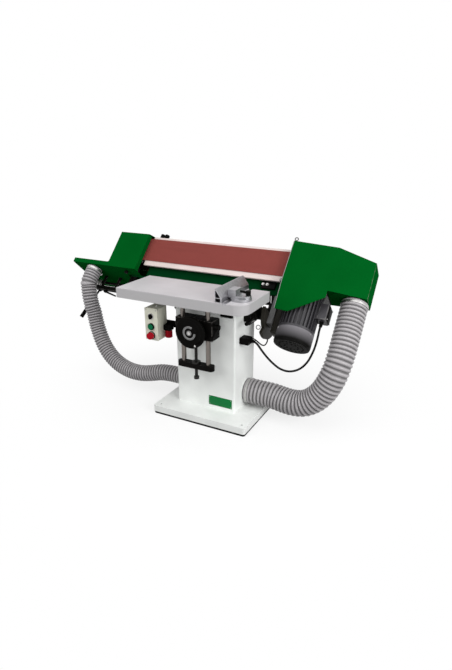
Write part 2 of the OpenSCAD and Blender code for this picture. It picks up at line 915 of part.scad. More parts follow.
module table_top() {
    low = table_z - skirt_h;
    under = table_z - plate_t;
    inner_l = table_l - 2 * skirt_t;
    color(grey) difference() {
        union() {
            translate([0, 0, under]) linear_extrude(plate_t) table_outline(0);
            translate([0, 0, low]) linear_extrude(skirt_h) difference() {
                table_outline(0);
                table_outline(skirt_t);
            }
            for (i = [1 : rib_count])
                translate([table_x0 + skirt_t + inner_l * i / (rib_count + 1), 0, 0])
                    span([-rib_t / 2, table_front + skirt_t / 2, under - rib_t],
                        [rib_t / 2, table_back - skirt_t / 2, under + cut]);
            span([table_x0 + skirt_t / 2, lift_y - rib_t / 2, under - rib_t],
                [table_right - skirt_t / 2, lift_y + rib_t / 2, under + cut]);
            for (x = rod_x) translate([x, lift_y, low]) cylinder(h = skirt_h - cut, d = rod_boss_d);
            span([slot_x - slot_w / 2 - slot_wall, table_front + skirt_t / 2, under - rib_t],
                [slot_x + slot_w / 2 + slot_wall, table_back - skirt_t / 2, under + cut]);
        }
        span([slot_x - slot_w / 2, table_front - cut, table_z - slot_h],
            [slot_x + slot_w / 2, table_back + cut, table_z + cut]);
        for (x = rod_x)
            translate([x, lift_y, low - cut]) cylinder(h = skirt_h + cut - plate_t, d = rod_d + 2 * run_gap);
    }
}

module guide_rods() {
    low = tie_high - tie_h;
    color(steel) for (x = rod_x)
        translate([x, lift_y, low]) cylinder(h = table_z - plate_t - low, d = rod_d);
}

module tie_bar() {
    low = tie_high - tie_h;
    bore_h = tie_h + 2 * cut;
    color(black) difference() {
        translate([lift_x, lift_y, low]) linear_extrude(tie_h)
            round_rect(rod_pitch + 2 * tie_side, tie_d, tie_r);
        for (x = rod_x) translate([x, lift_y, low - cut]) cylinder(h = bore_h, d = rod_d + 2 * run_gap);
        translate([lift_x, lift_y, low - cut]) cylinder(h = bore_h, d = nut_d + 2 * run_gap);
    }
}

module lift_nut() {
    color(bronze) translate([lift_x, lift_y, tie_high - tie_h]) difference() {
        union() {
            cylinder(h = tie_h, d = nut_d);
            translate([0, 0, tie_h]) cylinder(h = nut_flange_t, d = nut_flange_d);
        }
        translate([0, 0, -cut]) cylinder(h = tie_h + nut_flange_t + 2 * cut, d = screw_d + 2 * run_gap);
    }
}

// Fence base with the guide bar in the table's slot
module fence_base() {
    bar_w = slot_w - 2 * slide_gap;
    z0 = table_z + fence_base_gap;
    color(grey) difference() {
        union() {
            translate([fence_x, fence_y, z0]) cylinder(h = fence_base_t, r = fence_base_r);
            span([slot_x - bar_w / 2, fence_y - fence_bar_l / 2, table_z - slot_h + slide_gap],
                [slot_x + bar_w / 2, fence_y + fence_bar_l / 2, z0]);
        }
        translate([fence_x, fence_y, z0]) cylinder(h = fence_base_t + cut, d = fence_pin_d + 2 * run_gap);
    }
}

// Swivel bracket of the fence with its pivot pin
module fence_bracket() {
    z0 = table_z + fence_base_gap + fence_base_t + slide_gap;
    color(steel) translate([fence_x, fence_y, 0]) difference() {
        union() {
            span([bracket_x0, -bracket_half, z0], [bracket_x0 + bracket_l, bracket_half, z0 + bracket_h]);
            span([bracket_x0, -bracket_half, z0], [0, bracket_half, z0 + lever_stem_h]);
            translate([0, 0, z0]) cylinder(h = lever_stem_h, r = bracket_half);
            translate([lever_x / 2, lever_y / 2, z0]) cylinder(h = lever_stem_h, r = bracket_half);
            translate([0, 0, z0 - slide_gap - fence_base_t])
                cylinder(h = fence_base_t + slide_gap + cut, d = fence_pin_d);
        }
        translate([lever_x, lever_y, z0 - cut])
            cylinder(h = lever_stem_h + 2 * cut, d = lever_pin_d + 2 * run_gap);
    }
}

// Extruded fence with hollow chambers and a slanted front
module fence_profile() {
    l = table_back - profile_end_gap - fence_y - profile_front;
    x1 = bracket_x0;
    x0 = x1 - profile_w;
    t = profile_wall;
    foot = x0 + profile_foot;
    step = profile_front_h;
    color(steel) translate([fence_x, fence_y + profile_front, fence_z0]) rotate([90, 0, 180])
        mirror([1, 0, 0]) linear_extrude(l) difference() {
            polygon([[x0, 0], [x1, 0], [x1, step], [foot, step], [x0 + 2 * t, profile_h], [x0, profile_h]]);
            polygon([[x0 + t, t], [foot - 2 * t, t], [foot - 2 * t, step - t], [x0 + t, step - t]]);
            polygon([[x0 + t, step], [foot - 2 * t, step], [x0 + 2 * t, profile_h - 3 * t],
                [x0 + t, profile_h - 3 * t]]);
        }
}

module fence_lever() {
    z0 = table_z + fence_base_gap + fence_base_t + slide_gap;
    color(black) translate([fence_x + lever_x, fence_y + lever_y, z0]) {
        cylinder(h = lever_stem_h + slide_gap + cut, d = lever_pin_d);
        translate([0, 0, lever_stem_h + slide_gap]) cylinder(h = lever_knob_h, d = lever_knob_d);
        translate([0, 0, lever_stem_h + slide_gap + lever_knob_h / 2])
            rotate([lever_handle_lean, 0, lever_handle_turn]) cylinder(h = lever_handle_l, d = lever_arm_d);
    }
}

module handwheel() {
    rim_in = wheel_d - 2 * wheel_rim_t;
    color(black) difference() {
        union() {
            y_rod([lift_x, wheel_front, wheel_z], wheel_hub_l, wheel_hub_d);
            y_rod([lift_x, wheel_front, wheel_z], wheel_web_t, wheel_d - wheel_rim_t);
            y_rod([lift_x, wheel_front, wheel_z], wheel_rim_l, wheel_d);
        }
        difference() {
            y_rod([lift_x, wheel_front + wheel_web_t, wheel_z], wheel_hub_l, rim_in);
            y_rod([lift_x, wheel_front, wheel_z], 2 * wheel_hub_l, wheel_hub_d);
        }
        y_rod([lift_x, wheel_front - cut, wheel_z], wheel_hub_l + 2 * cut, shaft_d + 2 * run_gap);
        handle_place() translate([0, 0, -cut])
            cylinder(h = handle_pin_l + cut, d = handle_pin_d + 2 * run_gap);
    }
}

// Place of the crank handle on the wheel's front, pointing into the rim
module handle_place() {
    translate([lift_x + handle_r * cos(handle_turn), wheel_front, wheel_z + handle_r * sin(handle_turn)])
        rotate([-90, 0, 0]) children();
}

module dial_ring() {
    color(steel) difference() {
        y_rod([lift_x, wheel_front - dial_t, wheel_z], dial_t, dial_outer_d);
        y_rod([lift_x, wheel_front - dial_t - cut, wheel_z], dial_t + 2 * cut, dial_inner_d);
    }
}

module wheel_handle() {
    color(black) handle_place() {
        translate([0, 0, -slide_gap - handle_l]) cylinder(h = handle_l, d = handle_d);
        translate([0, 0, -slide_gap - cut]) cylinder(h = wheel_web_t + slide_gap + cut, d = handle_pin_d);
    }
}

// Wheel shaft with its bevel pinion, whose cone meets the screw's gear at a right angle
module wheel_shaft() {
    big = gear_r - mesh_gap;
    small = gear_inner - mesh_gap;
    color(steel) {
        y_rod([lift_x, wheel_front - shaft_over, wheel_z], lift_y - gear_r - wheel_front + shaft_over,
            shaft_d);
        translate([lift_x, lift_y - gear_r, wheel_z]) rotate([-90, 0, 0])
            cylinder(h = gear_r - gear_inner, r1 = big, r2 = small);
    }
}

// Lead screw with its bevel gear and end collar
module lead_screw() {
    big = gear_r - mesh_gap;
    small = gear_inner - mesh_gap;
    hub_low = cavity_low + slide_gap;
    color(steel) translate([lift_x, lift_y, 0]) {
        translate([0, 0, screw_low]) cylinder(h = housing_high + screw_over - screw_low, d = screw_d);
        translate([0, 0, screw_low]) cylinder(h = screw_collar_h, d = screw_collar_d);
        translate([0, 0, hub_low]) cylinder(h = wheel_z - gear_r - hub_low, d = gear_hub_d);
        translate([0, 0, wheel_z - gear_r]) cylinder(h = gear_r - gear_inner, r1 = big, r2 = small);
    }
}

// Clamp lever that turns about X: pin, hub and arm with a ball end
module clamp_lever(arm_l, turn) {
    color(black) {
        x_rod([-lever_pin_l + slide_gap, 0, 0], lever_pin_l, lever_pin_d);
        x_rod([slide_gap, 0, 0], lever_hub_l, lever_hub_d);
        translate([slide_gap + lever_hub_l / 2, 0, 0]) rotate([turn, 0, 0]) {
            rotate([90, 0, 0]) cylinder(h = arm_l, d = lever_arm_d);
            translate([0, -arm_l, 0]) sphere(d = lever_hub_l);
        }
    }
}

module rod_lever() {
    translate([housing_x1 + lever_hub_l / 2, lift_y, rod_lever_z]) clamp_lever(rod_lever_l, rod_lever_turn);
}

module tilt_lever() {
    translate([column_right + rib_w, tilt_lever_y, tilt_lever_z]) clamp_lever(tilt_lever_l, tilt_lever_turn);
}

// Box beam with two guides for the idler slider
module head_beam() {
    guides = [beam_x0, beam_x0 + guide_gap];
    hole = slider_side + 2 * slide_gap;
    color(black) on_head() difference() {
        union() {
            difference() {
                head_block(beam_x0, beam_x1, beam_back, beam_front, beam_low, beam_high);
                head_block(beam_x0 - cut, beam_x1 + cut, beam_back + beam_wall, beam_front - beam_wall,
                    beam_low + beam_wall, beam_high - beam_wall);
            }
            for (x = guides) head_block(x, x + guide_t, beam_back + beam_wall / 2, beam_front - beam_wall / 2,
                beam_low + beam_wall / 2, beam_high - beam_wall / 2);
        }
        for (x = guides) head_block(x - cut, x + guide_t + cut, slider_w - hole / 2, slider_w + hole / 2,
            belt_mid - hole / 2, belt_mid + hole / 2);
        for (i = [0, 1]) head_post(beam_x0 + guide_t + knob_inset + i * knob_pitch, knob_w,
            beam_high - beam_wall - cut, beam_high + cut, knob_stem_d + 2 * run_gap);
    }
}

// Two tilt arms under the beam with their pivot pins
module tilt_arms() {
    color(grey) on_both_sides() {
        on_head() head_block(arm_x0, arm_x1, -arm_half, arm_half, -arm_tail, beam_low);
        x_rod([column_right + boss_floor + slide_gap, pivot_y, pivot_z], arm_x0 - column_right - boss_floor,
            pin_d);
    }
}

module sector_outline() {
    difference() {
        union() {
            difference() {
                circle(sector_r);
                translate([-sector_r - cut, 0]) square([2 * (sector_r + cut), sector_r + cut]);
            }
            intersection() {
                circle(sector_tail_r);
                polygon(concat([[0, 0]], [for (k = [0 : sector_tail_steps]) 2 * sector_tail_r * tail_ray(k)]));
            }
        }
        circle(pin_d / 2 + run_gap);
    }
}

module sector_slot() {
    difference() {
        circle(sector_slot_r + sector_slot_w / 2);
        circle(sector_slot_r - sector_slot_w / 2);
        for (s = [-1, 1]) rotate(-90 + s * sector_slot_turn) translate([0, s < 0 ? -2 * sector_r : 0])
            square(2 * sector_r);
        translate([-2 * sector_r, 0]) square([4 * sector_r, 2 * sector_r]);
    }
}

// Half-round clamp plate with a curved slot in its far side, beside the right arm
module tilt_sector() {
    color(sector_black) on_head() translate([arm_x0 - sector_t, 0, 0]) rotate([90, 0, 90]) difference() {
        linear_extrude(sector_t) sector_outline();
        translate([0, 0, -cut]) linear_extrude(sector_slot_depth + cut) sector_slot();
    }
}

module platen() {
    color(steel) on_head()
        head_block(platen_x0, platen_x1, platen_back, platen_face, platen_low, platen_high);
}

module graphite_pad() {
    color(black) on_head() head_block(platen_x0 + graphite_inset, platen_x1 - graphite_inset, platen_face,
        platen_face + graphite_t, belt_low + graphite_inset, belt_high - graphite_inset);
}

// Outline of the belt's loop round both drums
module loop_outline(r) {
    translate([idler_x, -drum_w]) circle(r, $fn = loop_sides);
    translate([drive_x, -drum_w]) circle(r, $fn = loop_sides);
    translate([idler_x, -drum_w - r]) square([drum_dist, 2 * r]);
}

module sanding_belt() {
    color(belt_red) on_head() translate([0, 0, belt_low]) linear_extrude(belt_w) difference() {
        loop_outline(belt_loop_r + belt_t);
        loop_outline(belt_loop_r);
    }
}

// Solid in the head's frame from a plan outline, x along the belt and w out of the face
module plan_solid(points, v0, v1) {
    translate([0, 0, v0]) linear_extrude(v1 - v0) polygon([for (p = points) [p[0], -p[1]]]);
}

// Solid in the head's frame from a front outline, x along the belt and v up the face
module front_solid(points, w0, w1) {
    translate([0, -w0, 0]) rotate([90, 0, 0]) linear_extrude(w1 - w0) polygon(points);
}

// Solid in the head's frame from an end outline, w out of the face and v up the face
module end_solid(points, x0, x1) {
    translate([x0, 0, 0]) rotate([90, 0, 90]) linear_extrude(x1 - x0)
        polygon([for (p = points) [-p[0], p[1]]]);
}

// Closed body of the drive hood, drawn in from every side by inset, and out past its open end by over
module right_hood_body(inset, over) {
    x0 = right_hood_x0 - over;
    x1 = right_hood_x1 - inset;
    slope = (hood_face - right_hood_end_face) / (right_hood_x1 - right_hood_bend);
    bend = right_hood_bend - inset * slope / 2;
    end_face = right_hood_end_face - inset * slope / 2;
    face = hood_face - inset;
    back = right_hood_back + inset;
    low = right_hood_low + inset;
    intersection() {
        plan_solid([[x0, face], [bend, face], [x1, end_face], [x1, back], [x0, back]], low, right_hood_top);
        front_solid([[x0, low], [x1, low], [x1, right_hood_end_top - inset], [x0, right_hood_top - inset]],
            right_hood_back, hood_face);
    }
}

module right_hood() {
    floor_v = right_hood_low + hood_t;
    color(green) on_head() difference() {
        union() {
            difference() {
                right_hood_body(0, 0);
                right_hood_body(hood_t, cut);
                head_block(right_hood_x0 - cut, hood_floor_x, right_hood_back + hood_t, hood_face - hood_t,
                    right_hood_low - cut, right_hood_low + mplate_t);
            }
            front_solid([[right_hood_x0, floor_v], apron_left, apron_low, [right_hood_bend, apron_right_low],
                [right_hood_bend, floor_v]], hood_face - hood_t, hood_face);
            intersection() {
                plan_solid([[right_hood_bend, hood_face], [right_hood_x1, right_hood_end_face],
                    [right_hood_x1, right_hood_end_face - hood_t], [right_hood_bend, hood_face - hood_t]],
                    apron_bend_low, floor_v);
                front_solid([[right_hood_bend, apron_bend_low], [right_hood_x1, right_hood_low],
                    [right_hood_x1, floor_v], [right_hood_bend, floor_v]], right_hood_back, hood_face);
            }
            head_post(right_port_x, right_port_w, right_hood_low - spigot_l, floor_v, right_spigot_d);
        }
        head_post(right_port_x, right_port_w, right_hood_low - spigot_l - cut, floor_v + cut,
            right_spigot_d - 2 * spigot_wall);
    }
}

// Closed body of the idler hood and its chute, drawn in by inset, and out past its open end by over
module left_hood_body(inset, over) {
    low = left_hood_low + inset;
    face = hood_face - inset;
    top = left_hood_top - inset;
    back = left_hood_back + inset;
    end = chute_back + inset;
    x0 = left_hood_x0 + inset;
    rise = top + left_hood_rise;
    end_solid([[face, low], [face, top], [left_hood_rise_w, rise], [back, rise], [back, low]], x0,
        left_hood_x1 + over);
    end_solid([[face, low], [face, left_hood_low + chute_front_h - inset],
        [end, left_hood_low + chute_back_h - inset], [end, low]], chute_x0 + inset, x0 + cut);
}

module left_hood() {
    slot_x0 = idler_x - tail_slot_w / 2 + carriage_over / 2;
    fillet_at = [left_hood_x0, left_hood_low + chute_front_h];
    floor_v = left_hood_low + hood_t;
    color(green) on_head() difference() {
        union() {
            difference() {
                left_hood_body(0, 0);
                left_hood_body(hood_t, cut);
            }
            translate([0, hood_t - hood_face, 0]) rotate([90, 0, 0]) linear_extrude(hood_t) difference() {
                translate(fillet_at - [chute_fillet, cut]) square([chute_fillet + cut, chute_fillet + cut]);
                translate(fillet_at + [-chute_fillet, chute_fillet]) circle(chute_fillet);
            }
            head_post(left_port_x, left_port_w, left_hood_low - spigot_l, floor_v, left_spigot_d);
            head_block(left_hood_x1 - hood_t, left_hood_x1, hood_lip_w, hood_face - hood_t / 2,
                left_hood_low + hood_t / 2, left_hood_top - hood_t / 2);
        }
        head_post(left_port_x, left_port_w, left_hood_low - spigot_l - cut, floor_v + cut,
            left_spigot_d - 2 * spigot_wall);
        head_block(slot_x0, slot_x0 + tail_slot_w, -tail_slot_d / 2, tail_slot_d / 2, left_hood_low - cut,
            floor_v + cut);
    }
}

module lower_guard() {
    color(dark_green) on_head() {
        head_block(guard_x0, arm_x1, arm_half, guard_front, guard_low, beam_low);
        head_block(left_hood_x1 - tab_l, guard_x0 + tab_h, arm_half, guard_front, left_hood_low - tab_h,
            left_hood_low);
    }
}

module motor_plate() {
    color(grey) on_head() difference() {
        head_block(arm_x1, mplate_x1, right_hood_back + hood_t, hood_face - hood_t, mplate_low,
            mplate_low + mplate_t);
        head_post(drive_x, drum_w, mplate_low - cut, mplate_low + mplate_t + cut, mplate_hole_d);
    }
}

// Finned motor housing with its end walls and the seat of the terminal box
module motor_body() {
    core_r = motor_r - fin_h;
    color(black) on_head() difference() {
        union() {
            head_post(drive_x, drum_w, motor_low, mplate_low, 2 * core_r);
            head_post(drive_x, drum_w, motor_low, motor_low + motor_wall, motor_d);
            head_post(drive_x, drum_w, mplate_low - motor_wall, mplate_low, motor_d);
            translate([drive_x, -drum_w, motor_low]) for (i = [0 : fin_count - 1])
                rotate(full_turn * i / fin_count)
                translate([core_r - cut, -fin_t / 2, 0]) cube([fin_h, fin_t, mplate_low - motor_low]);
            head_block(drive_x + core_r / 2, drive_x + motor_r, drum_w - box_pad_half, drum_w + box_pad_half,
                box_low, box_high);
        }
        head_post(drive_x, drum_w, motor_low + motor_wall, mplate_low - motor_wall,
            motor_core_d - 2 * core_wall);
        head_post(drive_x, drum_w, motor_low - cut, mplate_low + cut, 2 * (shaft_r + run_gap));
    }
}

// Fan cover with rings of air holes
module fan_cover() {
    color(black) on_head() difference() {
        head_post(drive_x, drum_w, cover_low, motor_low, motor_d);
        head_post(drive_x, drum_w, cover_low + cover_wall, motor_low + cut, motor_d - 2 * cover_wall);
        for (i = [0 : grille_holes - 1]) cover_hole(grille_r, full_turn * i / grille_holes);
        for (i = [0 : grille_inner_holes - 1]) cover_hole(grille_inner_r, full_turn * i / grille_inner_holes);
    }
}

module cover_hole(r, turn) {
    head_post(drive_x + r * cos(turn), drum_w + r * sin(turn), cover_low - cut, cover_low + cover_wall + cut,
        grille_hole_d);
}

module terminal_box() {
    box_x = drive_x + motor_r;
    color(black) on_head()
        head_block(box_x, box_x + box_l, drum_w - box_half, drum_w + box_half, 0, box_high);
}

module cable_gland() {
    color(black) on_head() {
        translate([gland_x, -gland_w, -gland_l / 2]) cylinder(h = gland_l / 2, d = gland_d, $fn = hex_sides);
        head_post(gland_x, gland_w, -gland_l, -gland_l / 2, gland_d - rib_depth);
    }
}

// Bar under the idler hood that carries the tension lever, on two posts
module tension_bar() {
    color(black) on_head() difference() {
        union() {
            head_block(bar_x0, bar_x1, bar_w0, bar_w1, bar_low, bar_high);
            for (x = bar_posts)
                head_block(x, x + bar_post_l, bar_w1 - bar_post_t, bar_w1, bar_high - cut, left_hood_low);
        }
        translate([tlever_x, -bar_w0 + cut, tlever_v]) rotate([90, 0, 0])
            cylinder(h = tlever_t + cut, d = tlever_pin_d + 2 * run_gap);
    }
}

// Hollow drum with end walls and a hub, bored along the belt's width
module drum(x, bore) {
    v0 = belt_low - drum_over;
    v1 = belt_high + drum_over;
    difference() {
        head_post(x, drum_w, v0, v1, drum_d);
        difference() {
            head_post(x, drum_w, v0 + drum_end_t, v1 - drum_end_t, drum_d - 2 * drum_wall);
            head_post(x, drum_w, v0, v1, drum_hub_d);
        }
        head_post(x, drum_w, v0 - cut, v1 + cut, bore);
    }
}

module drive_drum() {
    color(steel) on_head() drum(drive_x, 2 * (shaft_r + run_gap));
}

// Motor shaft with its rotor and fan
module motor_rotor() {
    color(steel) on_head() {
        head_post(drive_x, drum_w, fan_low, belt_high, 2 * shaft_r);
        head_post(drive_x, drum_w, rotor_low, rotor_high, rotor_d);
        head_post(drive_x, drum_w, fan_low, fan_low + fan_t, fan_hub_d);
        translate([drive_x, -drum_w, fan_low]) for (i = [0 : fan_blades - 1])
            rotate(full_turn * i / fan_blades)
            translate([fan_hub_d / 2 - cut, -fan_blade_t / 2, fan_blade_in])
                cube([fan_r - fan_hub_d / 2 + cut, fan_blade_t, fan_t - 2 * fan_blade_in]);
    }
}

module idler_drum() {
    color(steel) on_head() drum(idler_x, bearing_d + 2 * run_gap);
}

module idler_bearings() {
    color(steel) on_head() for (v = [belt_low - drum_over, belt_high + drum_over - bearing_t])
        difference() {
            head_post(idler_x, drum_w, v, v + bearing_t, bearing_d);
            head_post(idler_x, drum_w, v - cut, v + bearing_t + cut, axle_d + 2 * run_gap);
        }
}

// Fork of the idler drum: slider, post, two plates, axle, and the tail with its pull rod
module idler_carriage() {
    low = belt_low - drum_over - arm_plate_gap;
    high = belt_high + drum_over + arm_plate_gap;
    post_x0 = idler_x + drum_r + carriage_post_gap;
    post_x1 = post_x0 + carriage_post_t;
    plate_x0 = idler_x - carriage_over;
    tail_x1 = plate_x0 + tail_w;
    tail_front = carriage_w0 + tail_depth;
    slider_half = slider_side / 2;
    color(black) on_head() {
        head_block(post_x0, post_x1, carriage_w0, slider_w + slider_half, low - arm_plate_t,
            high + arm_plate_t);
        for (v = [low - arm_plate_t, high])
            head_block(plate_x0, post_x1, carriage_w0, carriage_w1, v, v + arm_plate_t);
        head_block(post_x0, post_x0 + slider_l, slider_w - slider_half, slider_w + slider_half,
            belt_mid - slider_half, belt_mid + slider_half);
        head_post(idler_x, drum_w, low - arm_plate_t, high + arm_plate_t, axle_d);
        head_block(plate_x0, tail_x1, carriage_w0, tail_front, pull_v - tail_half, low);
        head_block(plate_x0, tail_x1, pull_w - tail_half, tail_front, pull_v - tail_half,
            pull_v + tail_half);
        x_rod([pull_end, -pull_w, pull_v], plate_x0 - pull_end + cut, pull_d);
        x_rod([pull_end - pull_head_l, -pull_w, pull_v], pull_head_l, pull_head_d);
    }
}

// Belt tension lever: pin, hub, finger against the pull rod's head, arm and grip
module tension_lever() {
    back = bar_w0 - slide_gap;
    reach = tlever_finger - [tlever_x, tlever_v];
    turn = atan2(reach[1], reach[0]);
    color(black) on_head() translate([tlever_x, -back, tlever_v]) {
        rotate([90, 0, 0]) cylinder(h = tlever_t, d = tlever_pin_d);
        rotate([-90, 0, 0]) cylinder(h = tlever_t, d = lever_hub_d);
        rotate([0, -turn, 0]) translate([0, 0, -tlever_finger_half])
            cube([norm(reach), tlever_t, 2 * tlever_finger_half]);
        translate([reach[0], 0, reach[1]]) rotate([-90, 0, 0]) cylinder(h = tlever_t, r = tlever_finger_r);
        translate([0, tlever_t / 2, 0]) rotate([0, 180 + tlever_turn, 0]) {
            cylinder(h = tlever_l, d = lever_arm_d);
            translate([0, 0, tlever_l - tlever_grip_l]) cylinder(h = tlever_grip_l, d = tlever_grip_d);
        }
    }
}

// Fluted knob with its stem in the beam's top
module top_knob(i) {
    x = beam_x0 + guide_t + knob_inset + i * knob_pitch;
    color(black) on_head() {
        head_post(x, knob_w, beam_high - beam_wall, beam_high + knob_rise, knob_stem_d);
        head_post(x, knob_w, beam_high + knob_rise, beam_high + knob_rise + knob_h, knob_d);
    }
}

module tracking_knob() {
    top_knob(0);
}

module tension_knob() {
    top_knob(1);
}

// Push button: head in front of the lid and stem through it
module push_button(z, d, h, gap) {
    y_rod([ctrl_mid, ctrl_front - gap - h, z], h, d);
    y_rod([ctrl_mid, ctrl_front - gap - cut, z], stem_l + gap + cut, stem_d);
}

module start_button() {
    color(button_green) push_button(start_z, start_d, start_h, start_gap);
}

module stop_button() {
    color(red) push_button(stop_z, stop_d, stop_h, stop_gap);
}

module selector_knob() {
    color(black) {
        push_button(selector_z, selector_d, selector_h / 2, slide_gap);
        span([ctrl_mid - selector_wing / 2, ctrl_front - slide_gap - selector_h, selector_z - selector_d / 2],
            [ctrl_mid + selector_wing / 2, ctrl_front - slide_gap - cut, selector_z + selector_d / 2]);
    }
}

base_pad();
base_tray();
column();
column_door();
dust_outlet();
lift_housing();
gearbox_cover();
frame_bolts();
trunnions();
control_bracket();
control_box();
control_lid();
power_inlet();
inlet_cap();
cable_plug();
left_hose();
right_hose();
motor_cable();
switch_cable();
table_top();
guide_rods();
tie_bar();
lift_nut();
fence_base();
fence_bracket();
fence_profile();
fence_lever();
handwheel();
dial_ring();
wheel_handle();
wheel_shaft();
lead_screw();
rod_lever();
head_beam();
tilt_arms();
tilt_sector();
platen();
graphite_pad();
sanding_belt();
left_hood();
right_hood();
lower_guard();
motor_plate();
motor_body();
fan_cover();
terminal_box();
cable_gland();
tension_bar();
drive_drum();
motor_rotor();
idler_drum();
idler_bearings();
idler_carriage();
tension_lever();
tilt_lever();
tracking_knob();
tension_knob();
start_button();
stop_button();
selector_knob();
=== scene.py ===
"""Edge sander: camera, stage, finishes and fine pieces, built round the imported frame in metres."""
import json
import math

import bmesh
import bpy
from bpy.props import FloatProperty, FloatVectorProperty, IntProperty, PointerProperty
from mathutils import Matrix, Vector


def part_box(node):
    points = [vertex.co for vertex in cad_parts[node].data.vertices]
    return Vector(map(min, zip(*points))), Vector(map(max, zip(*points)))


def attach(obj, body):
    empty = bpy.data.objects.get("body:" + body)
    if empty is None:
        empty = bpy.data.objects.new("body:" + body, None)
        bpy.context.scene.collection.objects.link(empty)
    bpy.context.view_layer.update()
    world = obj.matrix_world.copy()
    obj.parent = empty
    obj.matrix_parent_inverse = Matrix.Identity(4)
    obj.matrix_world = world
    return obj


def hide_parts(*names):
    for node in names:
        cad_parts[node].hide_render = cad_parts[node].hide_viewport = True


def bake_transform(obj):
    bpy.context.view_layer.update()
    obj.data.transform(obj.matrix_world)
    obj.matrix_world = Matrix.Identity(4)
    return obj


bl_info = {
    "name": "Edge sander",
    "version": (1, 0, 0),
    "blender": (4, 5, 0),
    "location": "3D View > Sidebar > Sander",
    "description": "Dresses the packed frame of an edge sander",
    "category": "Object",
}

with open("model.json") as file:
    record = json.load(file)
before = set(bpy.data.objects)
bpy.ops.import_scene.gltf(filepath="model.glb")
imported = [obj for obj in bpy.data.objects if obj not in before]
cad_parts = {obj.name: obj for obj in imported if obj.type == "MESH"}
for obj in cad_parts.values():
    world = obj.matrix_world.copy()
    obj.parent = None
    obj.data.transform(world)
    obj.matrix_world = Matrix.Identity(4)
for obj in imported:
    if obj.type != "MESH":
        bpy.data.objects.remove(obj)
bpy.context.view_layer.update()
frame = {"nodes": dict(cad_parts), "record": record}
RECORD = frame["record"]
BODY_OF = {node: body for body, nodes in RECORD["behaviour"]["bodies"].items() for node in nodes}
SLOT_OF = {part["node"]: part["material_slot"] for part in RECORD["subparts"]}
JOINTS = {joint["name"]: joint for joint in RECORD["behaviour"]["joints"]}
MM = 0.001
UP = (0, 0, 1)
FORWARD = (0, -1, 0)
BACKWARD = (0, 1, 0)
RIGHTWARD = (1, 0, 0)

# The head's own frame: x along the belt, y behind its face, z up its face
FACE_UP = Vector(JOINTS["drive_spin"]["axis"])
TILT = math.atan2(FACE_UP.y, FACE_UP.z)
HEAD = Matrix.Translation(JOINTS["head_tilt"]["pos_m"]) @ Matrix.Rotation(-TILT, 4, "X")

# Routes of the hoses and cables, as in the part's source
RIGHT_HOSE_ROUTE = [
    (0.658, 0.2450, 0.6274), (0.658, 0.1522, 0.5279), (0.658, 0.106, 0.479), (0.657, 0.066, 0.432),
    (0.653, 0.032, 0.384), (0.643, 0.010, 0.334), (0.624, 0.000, 0.280), (0.594, -0.003, 0.222),
    (0.552, -0.004, 0.172), (0.500, -0.002, 0.138), (0.442, 0.004, 0.124), (0.384, 0.014, 0.122),
    (0.328, 0.021, 0.126), (0.280, 0.022, 0.127), (0.223, 0.022, 0.127), (0.167, 0.022, 0.127),
]
LEFT_HOSE_ROUTE = [
    (-0.949, 0.1462, 0.6593), (-0.949, 0.0835, 0.5920), (-0.946, 0.072, 0.560), (-0.933, 0.060, 0.500),
    (-0.921, 0.056, 0.450), (-0.905, 0.054, 0.400), (-0.888, 0.046, 0.345), (-0.864, 0.036, 0.290),
    (-0.828, 0.022, 0.232), (-0.779, 0.008, 0.178), (-0.718, -0.004, 0.136), (-0.648, -0.014, 0.110),
    (-0.574, -0.022, 0.100), (-0.500, -0.025, 0.103), (-0.430, -0.021, 0.117), (-0.366, -0.016, 0.133),
    (-0.300, -0.015, 0.140), (-0.247, -0.015, 0.140), (-0.191, -0.015, 0.140),
]
MOTOR_CABLE_ROUTE = [
    (0.530, 0.0988, 0.5315), (0.530, 0.0784, 0.5096), (0.528, 0.066, 0.475), (0.522, 0.057, 0.435),
    (0.510, 0.049, 0.392), (0.492, 0.042, 0.350), (0.465, 0.034, 0.315), (0.432, 0.026, 0.294),
    (0.395, 0.018, 0.287), (0.358, 0.006, 0.299), (0.324, -0.008, 0.328), (0.294, -0.022, 0.364),
    (0.270, -0.036, 0.402), (0.252, -0.043, 0.430), (0.238, -0.046, 0.441), (0.228, -0.046, 0.443),
    (0.216, -0.046, 0.443),
]
SWITCH_CABLE_ROUTE = [
    (0.2165, -0.034, 0.452), (0.2285, -0.034, 0.452), (0.233, -0.024, 0.444), (0.236, -0.008, 0.431),
    (0.239, 0.009, 0.417), (0.241, 0.026, 0.404), (0.243, 0.043, 0.394), (0.244, 0.058, 0.388),
    (0.245, 0.072, 0.386), (0.246, 0.084, 0.389), (0.247, 0.094, 0.396), (0.247, 0.101, 0.4088),
]


# Settings

def colour(name, description, default):
    """Colour property in linear light."""
    return FloatVectorProperty(name=name, description=description, subtype="COLOR", size=3, min=0, max=1,
                               default=default)


def length(name, description, default):
    """Length property in metres."""
    return FloatProperty(name=name, description=description, default=default, unit="LENGTH", precision=4)


def angle_from(name, description, degrees):
    """Angle property with its default in degrees."""
    return FloatProperty(name=name, description=description, default=math.radians(degrees), subtype="ANGLE")


def watts(name, description, default):
    """Power property of a light."""
    return FloatProperty(name=name, description=description, default=default, unit="POWER")


def portion(name, description, default):
    """Property that is a share of 1."""
    return FloatProperty(name=name, description=description, default=default, subtype="FACTOR")


